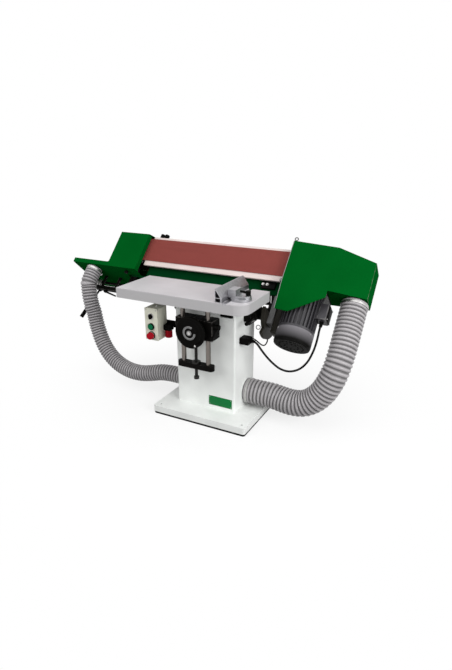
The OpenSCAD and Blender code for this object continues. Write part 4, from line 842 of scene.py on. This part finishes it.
class SANDER_OT_stage(bpy.types.Operator):
    """Camera, white floor, soft lights and world"""
    bl_idname = "sander.stage"
    bl_label = "Stage"

    def execute(self, context):
        s = context.scene.sander_stage
        context.scene.view_settings.view_transform = "Standard"
        lens = bpy.data.cameras.new("Camera")
        lens.lens = s.lens
        camera = bpy.data.objects.new("Camera", lens)
        camera.location = s.eye
        camera.rotation_euler = (math.pi / 2 - s.pitch, 0, s.heading)
        context.scene.collection.objects.link(camera)
        context.scene.camera = camera
        for name, place, size, power in SOFTBOXES:
            self.softbox(name, place, size, getattr(s, power))
        self.white_world(context.scene, s.ambient)
        self.white_floor(s.floor_white, s.floor_bounce)
        return {"FINISHED"}

    def softbox(self, name, place, size, power):
        """Square area light that looks at the middle of the machine."""
        light = bpy.data.lights.new(name, "AREA")
        light.size = size
        light.energy = power
        box = bpy.data.objects.new(name, light)
        box.location = place
        box.rotation_euler = (MACHINE_MIDDLE - Vector(place)).to_track_quat("-Z", "Y").to_euler()
        bpy.context.scene.collection.objects.link(box)

    def white_world(self, scene, ambient):
        """Even light, and plain white where the world is seen."""
        world = bpy.data.worlds.new("White world")
        world.use_nodes = True
        scene.world = world
        tree = world.node_tree
        even = tree.nodes["Background"]
        even.inputs["Strength"].default_value = ambient
        seen = add_node(tree, "Background")
        for background in (even, seen):
            background.inputs["Color"].default_value = (1, 1, 1, 1)
        shown = mixed_shaders(tree, seen_directly(tree), even.outputs[0], seen.outputs[0])
        tree.links.new(shown, tree.nodes["World Output"].inputs["Surface"])

    def white_floor(self, near_white, bounce):
        """Pale floor that keeps the machine's shadow and fades to plain white away from it."""
        bm = bmesh.new()
        bmesh.ops.create_grid(bm, x_segments=1, y_segments=1, size=FLOOR_HALF)
        bmesh.ops.translate(bm, vec=(0, 0, -FLOOR_DROP), verts=bm.verts)
        mesh = bpy.data.meshes.new("Floor")
        bm.to_mesh(mesh)
        bm.free()
        floor = bpy.data.objects.new("Floor", mesh)
        bpy.context.scene.collection.objects.link(floor)
        tree, shader = new_material(FLOOR_FINISH, FLOOR_COLOUR, roughness=0.9)
        pale = mixed(tree, seen_directly(tree), (bounce, bounce, bounce), FLOOR_COLOUR)
        tree.links.new(pale, shader.inputs["Base Color"])
        away = add_node(tree, "VectorMath", operation="LENGTH")
        tree.links.new(own_place(tree), away.inputs[0])
        fade = ranged(tree, away.outputs["Value"], FLOOR_NEAR, FLOOR_FAR, to_low=near_white,
                      interpolation_type="SMOOTHSTEP")
        glow = add_node(tree, "Emission")
        shown = mixed_shaders(tree, both(tree, "MULTIPLY", fade, seen_directly(tree)), shader.outputs["BSDF"],
                              glow.outputs["Emission"])
        tree.links.new(shown, tree.nodes["Material Output"].inputs["Surface"])
        mesh.materials.append(bpy.data.materials[FLOOR_FINISH])


# Pieces

# Width of each node's rounded edges, and the least face that takes them
EASED_WIDTHS = {
    "base_tray": (0.006, 0.004), "column": (0.004, 0.02), "lift_housing": (0.003, 0.0008),
    "gearbox_cover": (0.002, 0.0003), "trunnions": (0.003, 0.0005), "control_box": (0.006, 0.002),
    "control_lid": (0.0025, 0.0002), "power_inlet": (0.005, 0), "inlet_cap": (0.002, 0),
    "cable_plug": (0.006, 0), "table_top": (0.004, 0.003), "tie_bar": (0.005, 0.0003),
    "fence_base": (0.001, 0.0004), "fence_bracket": (0.002, 0.0003), "fence_profile": (0.0006, 0.002),
    "tilt_arms": (0.002, 0.001), "tilt_sector": (0.0015, 0.0003), "platen": (0.0015, 0.002),
    "left_hood": (0.002, 0.003), "right_hood": (0.002, 0.003), "motor_plate": (0.001, 0.001),
    "terminal_box": (0.005, 0), "tension_bar": (0.002, 0.0002), "tension_lever": (0.001, 0),
    "tracking_knob": (0.002, 0), "tension_knob": (0.002, 0),
}


class SANDER_OT_finishes(bpy.types.Operator):
    """Finish of every CAD node, and rounded edges where they show"""
    bl_idname = "sander.finishes"
    bl_label = "Finishes"

    def execute(self, context):
        for node, part in frame["nodes"].items():
            part.data.materials.clear()
            part.data.materials.append(finish(SLOT_OF[node]))
        for node, (width, least) in EASED_WIDTHS.items():
            eased(node, width, least)
        return {"FINISHED"}


HANDWHEEL_PROFILE = (
    (8.1, 30), (37, 30), (38.5, 29), (40, 27.2), (58, 27.2), (61, 28.2), (64, 29.6), (68, 30), (76, 30),
    (79.5, 29), (81.8, 26.5), (82.5, 23), (82.5, 16), (81.6, 13), (79.5, 11), (76.5, 10), (67, 10),
    (63.5, 11), (61.2, 13.5), (60.5, 17), (60.5, 20), (58.5, 21.6), (56, 22), (30, 22), (28.5, 21), (28, 19),
    (28, 1.5), (26.5, 0), (8.1, 0),
)
HANDLE_PROFILE = (
    (0, 0), (7, 0), (8.2, 1), (9.2, 7), (9.9, 15), (9.8, 21), (8.8, 29), (7.4, 33), (5.2, 34), (0, 34),
)
HANDLE_CAP_PROFILE = ((0, 33.8), (4.8, 33.8), (4.8, 35), (3.9, 35.8), (2.2, 36.3), (0, 36.4))
HANDLE_SINK = 0.0003
DIAL_PROFILE = ((26, 0), (36, 0), (36, 2.6), (34.8, 3.6), (27, 3.6), (26, 2.8))
DIAL_HUB_PROFILE = ((8.1, 0), (13, 0), (13, 4), (12, 5), (9.4, 5), (8.1, 4.2))
DIAL_START = math.radians(60)
DIAL_SWEEP = math.radians(300)
DIAL_TICKS = 40
TICK_LOW = (0.0305, -0.0005, 0.0034)
TICK_HIGH = (0.0345, 0.0005, 0.0039)


class SANDER_OT_handwheel(bpy.types.Operator):
    """Handwheel with its dial and barrel handle"""
    bl_idname = "sander.handwheel"
    bl_label = "Handwheel"

    def execute(self, context):
        axle = Vector(JOINTS["handwheel_turn"]["pos_m"])
        front, back = (corner.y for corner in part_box("handwheel"))
        rim = turned(HANDWHEEL_PROFILE, facing((axle.x, back, axle.z), FORWARD), steps=72)
        wheel = set_piece("handwheel_rim", rim, "handwheel", "black_plastic")
        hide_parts("handwheel")
        face = facing((axle.x, front, axle.z), FORWARD)
        gap_end = face @ Matrix.Rotation(DIAL_START, 4, "Z")
        dial_bm = turned(DIAL_PROFILE, gap_end, steps=60, angle=DIAL_SWEEP)
        add_turned(dial_bm, DIAL_HUB_PROFILE, face, steps=36)
        dial = set_piece("dial_face", dial_bm, "handwheel", "zinc_steel", "dial_grey")
        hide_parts("dial_ring")
        ticks = bmesh.new()
        for k in range(DIAL_TICKS):
            spoke = gap_end @ Matrix.Rotation(DIAL_SWEEP * (k + 0.5) / DIAL_TICKS, 4, "Z")
            add_box(ticks, TICK_LOW, TICK_HIGH, spoke)
        set_piece("dial_ticks", ticks, "handwheel", "black_plastic")
        low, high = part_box("wheel_handle")
        grip = facing(((low.x + high.x) / 2, front - HANDLE_SINK, (low.z + high.z) / 2), FORWARD)
        barrel = turned(HANDLE_PROFILE, grip, steps=32)
        handle = set_piece("handle_barrel", barrel, "wheel_handle", "black_plastic")
        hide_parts("wheel_handle")
        set_piece("handle_cap", turned(HANDLE_CAP_PROFILE, grip, steps=24), "wheel_handle", "zinc_steel")
        return {"FINISHED"}


END_COLLAR_PROFILE = ((0, 0), (13, 0), (14, 1), (14, 13), (13, 14))
THREAD_START = 16

# Shares of the pitch where a groove's root starts, where it ends, and where the crest is reached again
GROOVE_SHARES = 0.15, 0.5, 0.65


class SANDER_OT_lead_screw(bpy.types.Operator):
    """Lead screw with thread grooves and its end collar"""
    bl_idname = "sander.lead_screw"
    bl_label = "Lead screw"

    def execute(self, context):
        s = sizes()
        low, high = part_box("lead_screw")
        middle = (low + high) / 2
        top = (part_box("lift_housing")[0].z - low.z) / MM
        end = (high.z - low.z) / MM
        crest = s.screw_width / MM / 2
        root = crest - s.thread_depth / MM
        pitch = s.thread_pitch / MM
        root_from, root_to, crest_from = (pitch * share for share in GROOVE_SHARES)
        profile = [*END_COLLAR_PROFILE, (crest, END_COLLAR_PROFILE[-1][1])]
        height = THREAD_START
        while height < top - pitch:
            profile += [(crest, height), (root, height + root_from), (root, height + root_to),
                        (crest, height + crest_from)]
            height += pitch
        profile += [(crest, end), (0, end)]
        thread = turned(profile, facing((middle.x, middle.y, low.z), UP), steps=24)
        screw = set_piece("threaded_screw", thread, "screw", "oiled_steel")
        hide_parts("lead_screw")
        return {"FINISHED"}


# Button, and the bore, radius and rise of its collar in millimetres
BUTTON_COLLARS = (("start_button", 15.6, 18.6, 8), ("stop_button", 18.8, 21.6, 4))
COLLAR_EDGE = 1.2
SELECTOR_RING_PROFILE = ((13.6, 0), (17, 0), (17, 2.6), (16, 3.6), (13.6, 3.6))
BOX_SCREW_INSET = 0.009
BOX_SCREW_RADIUS = 3.6
TOP_SCREW_IN = 0.045
TOP_SCREW_RADIUS = 5


class SANDER_OT_controls(bpy.types.Operator):
    """Button collars, lid screws and the screw on top of the control box"""
    bl_idname = "sander.controls"
    bl_label = "Controls"

    def execute(self, context):
        low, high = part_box("control_lid")

        def round_control(node):
            """Place on the lid behind a round control."""
            a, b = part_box(node)
            return facing(((a.x + b.x) / 2, low.y, (a.z + b.z) / 2), FORWARD)

        collars = bmesh.new()
        for button, inner, outer, rise in BUTTON_COLLARS:
            profile = ((inner, 0), (outer, 0), (outer, rise - COLLAR_EDGE), (outer - COLLAR_EDGE, rise),
                       (inner, rise))
            add_turned(collars, profile, round_control(button), steps=36)
        set_piece("button_collars", collars, "stand", "black_plastic")
        ring = turned(SELECTOR_RING_PROFILE, round_control("selector_knob"), steps=36)
        set_piece("selector_ring", ring, "stand", "zinc_steel")
        screws = bmesh.new()
        for x, z in inset_corners(low, high, BOX_SCREW_INSET):
            add_screw(screws, facing((x, low.y, z), FORWARD), BOX_SCREW_RADIUS)
        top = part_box("control_box")[1]
        add_screw(screws, facing((low.x + TOP_SCREW_IN, (low.y + top.y) / 2, top.z), UP), TOP_SCREW_RADIUS)
        set_piece("box_screws", screws, "stand", "zinc_steel")
        return {"FINISHED"}


COLUMN_FRONT = -0.118
PLATE_ROUND = 0.0004
RIVET_PROFILE = ((0, 1.1), (1, 1), (1.8, 0.6), (2.2, 0), (0, 0))
RIVET_INSET = 0.006
DOOR_SCREW_INSET = 0.012
DOOR_SCREW_RADIUS = 5
# Corners of a black strip on the column's front: painted shadow of the gap between the table and the column
GAP_SHADOW_LOW = (0.081, COLUMN_FRONT - 0.0012, 0.5775)
GAP_SHADOW_HIGH = (0.151, COLUMN_FRONT, 0.5885)


class SANDER_OT_column_plates(bpy.types.Operator):
    """Bare plate with its rivets, a black strip on the column that is painted shadow of the gap between table
    and column, and the door's screws
    """
    bl_idname = "sander.column_plates"
    bl_label = "Column plates"

    def execute(self, context):
        s = sizes()
        low = Vector((s.label_left, COLUMN_FRONT - s.label_thick, s.label_low))
        high = Vector((s.label_left + s.label_wide, COLUMN_FRONT, s.label_low + s.label_tall))
        plate = bmesh.new()
        add_box(plate, low, high, round_by=PLATE_ROUND)
        set_piece("bare_label", plate, "stand", "green_paint", "label_green")
        rivets = bmesh.new()
        for x, z in inset_corners(low, high, RIVET_INSET):
            add_turned(rivets, RIVET_PROFILE, facing((x, low.y, z), FORWARD), steps=12)
        door_low, door_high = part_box("column_door")
        for x, z in inset_corners(door_low, door_high, DOOR_SCREW_INSET):
            add_screw(rivets, facing((x, door_high.y, z), BACKWARD), DOOR_SCREW_RADIUS)
        set_piece("plate_rivets", rivets, "stand", "zinc_steel")
        # Black strip: painted shadow of the gap between the table and the column
        slot = bmesh.new()
        add_box(slot, GAP_SHADOW_LOW, GAP_SHADOW_HIGH, round_by=PLATE_ROUND)
        set_piece("slot_cover", slot, "stand", "black_plastic")
        return {"FINISHED"}


# Fan cover, in the head's frame: its axis in millimetres, its low rim, and the least edge and radius rounded
FAN_X = 414
FAN_W = 7
FAN_CENTRE = Vector((FAN_X * MM, -FAN_W * MM, 0))
FAN_COVER_LOW = -0.156
FAN_RIM_ROOM = 0.0005
FAN_EDGE_LEAST = 0.004
FAN_RADIUS_LEAST = 0.09
FAN_ROUND = 0.02
FAN_STEPS = 6
FAN_SCREW_TURNS = (20, 140, 260)
FAN_SCREW_OUT = 95
FAN_SCREW_V = -88

# Terminal lid, in the head's frame from the box's end, and its screws out of the face and up it
LID_LOW = (-0.0005, -0.043, 0.004)
LID_HIGH = (0.0035, 0.029, 0.084)
LID_ROUND = 0.002
LID_SCREW_PLACES = ((-25, 8), (-25, 80), (39, 8), (39, 80))
MOTOR_SCREW_RADIUS = 3.4

RELIEF_PROFILE = (
    (5.7, -0.8), (9.5, -0.8), (9.5, 3), (8.6, 4), (8.6, 6), (9, 7), (8.2, 11), (7.6, 11.5), (7.6, 13.5),
    (8, 14.5), (7.2, 20), (6.4, 24), (5.7, 24),
)
GLAND_PROFILE = ((5.7, -0.6), (9, -0.6), (9, 3), (8.4, 6), (7.2, 8.4), (5.7, 9.4))


class SANDER_OT_motor_fittings(bpy.types.Operator):
    """Terminal lid, rounded fan cover, gland nut and the motor cable's strain relief"""
    bl_idname = "sander.motor_fittings"
    bl_label = "Motor fittings"

    def execute(self, context):
        def outer_rim(edge):
            """Whether an edge lies on the outer rim of the blown end."""
            ends = [HEAD.inverted() @ vert.co for vert in edge.verts]
            return (all(end.z < FAN_COVER_LOW + FAN_RIM_ROOM for end in ends)
                    and edge.calc_length() > FAN_EDGE_LEAST
                    and max((end - FAN_CENTRE).xy.length for end in ends) > FAN_RADIUS_LEAST)

        eased("fan_cover", FAN_ROUND, segments=FAN_STEPS, pick=outer_rim)
        lid = bmesh.new()
        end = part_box("terminal_box")[1].x
        add_box(lid, LID_LOW, LID_HIGH, HEAD @ Matrix.Translation((end, 0, 0)), LID_ROUND)
        set_piece("terminal_lid", lid, "head", "black_plastic")
        screws = bmesh.new()
        for w, v in LID_SCREW_PLACES:
            point = on_head((end + LID_HIGH[0]) / MM, w, v)
            add_screw(screws, facing(point, RIGHTWARD), MOTOR_SCREW_RADIUS)
        for turn in FAN_SCREW_TURNS:
            x, w = math.cos(math.radians(turn)), math.sin(math.radians(turn))
            point = on_head(FAN_X + FAN_SCREW_OUT * x, FAN_W + FAN_SCREW_OUT * w, FAN_SCREW_V)
            add_screw(screws, facing(point, head_way(x, w, 0)), MOTOR_SCREW_RADIUS)
        set_piece("motor_screws", screws, "head", "zinc_steel")
        relief_sleeve = turned(RELIEF_PROFILE, facing(MOTOR_CABLE_ROUTE[-1], RIGHTWARD), steps=24)
        set_piece("plug_relief", relief_sleeve, "stand", "black_plastic")
        gland = turned(GLAND_PROFILE, facing(MOTOR_CABLE_ROUTE[0], head_way(0, 0, -1)), steps=24)
        set_piece("gland_dome", gland, "head", "black_plastic")
        return {"FINISHED"}


# Fittings of the head: places in millimetres along the belt, out of its face and up it, rods' radii in metres
STOP_PROFILE = ((0, 4), (6, 4), (7, 3), (7, 0), (0, 0))
STOP_PLACE = (306, 106, 394)
EYE_PLACE = (306, 106, 408)
EYE_WAY = (0.2, 1, 0)
EYE_RADIUS = 8.5
EYE_WIRE = 3
KNOB_PROFILE = ((0, 18), (9, 18), (11.5, 16.5), (12, 14), (12, 8), (10.5, 6), (5, 5), (5, 0), (0, 0))
KNOB_PLACE = (-688, 80, 108)
BEAD_ROUTE = ((305, 112, -8), (298, 112, 154), (298, 112, 393))
BEAD_RADIUS = 0.002
ARM_BOLT_PLACES = ((285, -12, 82), (285, 14, 82))
ARM_BOLT = 13, 11
BRACKET_BOLT_PLACES = ((176, 47, 152), (200, 47, 152))
BRACKET_BOLT = 10, 8
STUD_FOOT = (247, 29, 54)
STUD_TIP = (238, 36, 92)
STUD_RADIUS = 0.003
STUD_ROUND = 0.001
RING_PLACE = (236.5, 66, -106)
RING_WAY = (0.3, -1, 0.3)
RING_RADIUS = 10.5
RING_WIRE = 1.9

# Corners in the head's frame of the bracket under the belt, the casting beside the arm and its foot
BRACKET_BLOCKS = (
    ((0.166, -0.047, 0.128), (0.246, -0.0326, 0.171)),
    ((0.206, -0.029, 0.05), (0.2556, -0.006, 0.131)),
    ((0.237, -0.0285, -0.01), (0.2556, -0.0065, 0.054)),
)
BRACKET_ROUND = 0.003

# Corners of the rib between arm and motor, in the head's frame
RIB_LOW = (0.2845, -0.02, -0.1)
RIB_HIGH = (0.3185, 0.05, 0.06)
RIB_ROUND = 0.004


class SANDER_OT_hood_fittings(bpy.types.Operator):
    """Stop, knob and grey edge bead of the hoods, the bead a painted highlight along the right hood's edge,
    and the small fittings of the head
    """
    bl_idname = "sander.hood_fittings"
    bl_label = "Hood fittings"

    def execute(self, context):
        stop = turned(STOP_PROFILE, facing(on_head(*STOP_PLACE), head_way(0, 0, 1)), steps=24)
        eye = facing(on_head(*EYE_PLACE), head_way(*EYE_WAY))
        add_turned(stop, hoop(EYE_RADIUS, EYE_WIRE), eye, steps=24)
        set_piece("hood_stop", stop, "head", "dark_grey_paint")
        knob = turned(KNOB_PROFILE, facing(on_head(*KNOB_PLACE), head_way(0, 0, -1)), steps=24)
        set_piece("hood_knob", knob, "head", "black_plastic")
        # Grey bead along the right hood's edge: painted highlight of the edge
        bead = bmesh.new()
        for low, high in zip(BEAD_ROUTE, BEAD_ROUTE[1:]):
            run = on_head(*high) - on_head(*low)
            add_rod(bead, facing(on_head(*low), run), BEAD_RADIUS, run.length, sides=10)
        set_piece("hood_bead", bead, "head", "zinc_steel", "dial_grey")
        bolts = bmesh.new()
        for place in ARM_BOLT_PLACES:
            add_hex_bolt(bolts, facing(on_head(*place), head_way(1, 0, 0)), *ARM_BOLT)
        for place in BRACKET_BOLT_PLACES:
            add_hex_bolt(bolts, facing(on_head(*place), head_way(0, 1, 0)), *BRACKET_BOLT)
        foot = on_head(*STUD_FOOT)
        stud = on_head(*STUD_TIP) - foot
        add_rod(bolts, facing(foot, stud), STUD_RADIUS, stud.length, sides=12, round_by=STUD_ROUND)
        set_piece("arm_bolts", bolts, "head", "zinc_steel")
        bracket = bmesh.new()
        for low, high in BRACKET_BLOCKS:
            add_box(bracket, low, high, HEAD, BRACKET_ROUND)
        set_piece("belt_bracket", bracket, "head", "black_casting")
        rib = bmesh.new()
        add_box(rib, RIB_LOW, RIB_HIGH, HEAD, RIB_ROUND)
        set_piece("motor_rib", rib, "head", "black_casting", "sector_paint")
        ring = turned(hoop(RING_RADIUS, RING_WIRE), facing(on_head(*RING_PLACE), RING_WAY), steps=32)
        set_piece("pull_ring", ring, "head", "black_plastic")
        return {"FINISHED"}


CASE_PROFILE = ((0, 0), (15, 0), (15, 38), (13.5, 40.5), (6, 41), (6, 44), (5, 45), (0, 45))
CASE_PLACE = (-960, -44, 37.5)
LEVER_HUB_PROFILE = ((0, 0), (11, 0), (11, 12), (9.5, 14), (5, 15), (0, 15))
LEVER_HUB = (-888, -44, 12.5)
LEVER_ROOT = (-888, -44, 4)
LEVER_TIP = (-796, -44, -16)
LEVER_RADIUS = 0.0062
LEVER_TIP_RADIUS = 0.0046
LEVER_ROUND = 0.002


class SANDER_OT_tension_fittings(bpy.types.Operator):
    """Spring case and clamp lever on the tension bar"""
    bl_idname = "sander.tension_fittings"
    bl_label = "Tension fittings"

    def execute(self, context):
        case = turned(CASE_PROFILE, facing(on_head(*CASE_PLACE), head_way(0, 0, 1)), steps=32)
        set_piece("spring_case", case, "head", "zinc_steel")
        lever = turned(LEVER_HUB_PROFILE, facing(on_head(*LEVER_HUB), head_way(0, 0, -1)), steps=24)
        root = on_head(*LEVER_ROOT)
        arm = on_head(*LEVER_TIP) - root
        add_rod(lever, facing(root, arm), LEVER_RADIUS, arm.length, sides=20, top_radius=LEVER_TIP_RADIUS,
                round_by=LEVER_ROUND)
        set_piece("bar_lever", lever, "head", "black_plastic")
        return {"FINISHED"}


class SANDER_PT_sander(bpy.types.Panel):
    """Lists the steps that dress the sander"""
    bl_label = "Edge sander"
    bl_space_type = "VIEW_3D"
    bl_region_type = "UI"
    bl_category = "Sander"

    def draw(self, context):
        for operator in OPERATORS:
            self.layout.operator(operator.bl_idname)


GROUPS = {"sander_colours": SanderColours, "sander_sizes": SanderSizes, "sander_stage": SanderStage}
OPERATORS = (SANDER_OT_stage, SANDER_OT_hoses, SANDER_OT_cables, SANDER_OT_finishes, SANDER_OT_handwheel,
             SANDER_OT_lead_screw, SANDER_OT_controls, SANDER_OT_column_plates, SANDER_OT_motor_fittings,
             SANDER_OT_hood_fittings, SANDER_OT_tension_fittings)


def register():
    for kind in (*GROUPS.values(), *OPERATORS, SANDER_PT_sander):
        bpy.utils.register_class(kind)
    for name, group in GROUPS.items():
        setattr(bpy.types.Scene, name, PointerProperty(type=group))


def unregister():
    for name in GROUPS:
        delattr(bpy.types.Scene, name)
    for kind in (SANDER_PT_sander, *OPERATORS[::-1], *GROUPS.values()):
        bpy.utils.unregister_class(kind)


def main():
    """Dresses the frame step by step."""
    register()
    bpy.ops.sander.stage()
    bpy.ops.sander.hoses()
    bpy.ops.sander.cables()
    bpy.ops.sander.finishes()
    bpy.ops.sander.handwheel()
    bpy.ops.sander.lead_screw()
    bpy.ops.sander.controls()
    bpy.ops.sander.column_plates()
    bpy.ops.sander.motor_fittings()
    bpy.ops.sander.hood_fittings()
    bpy.ops.sander.tension_fittings()


if __name__ == "__main__":
    main()
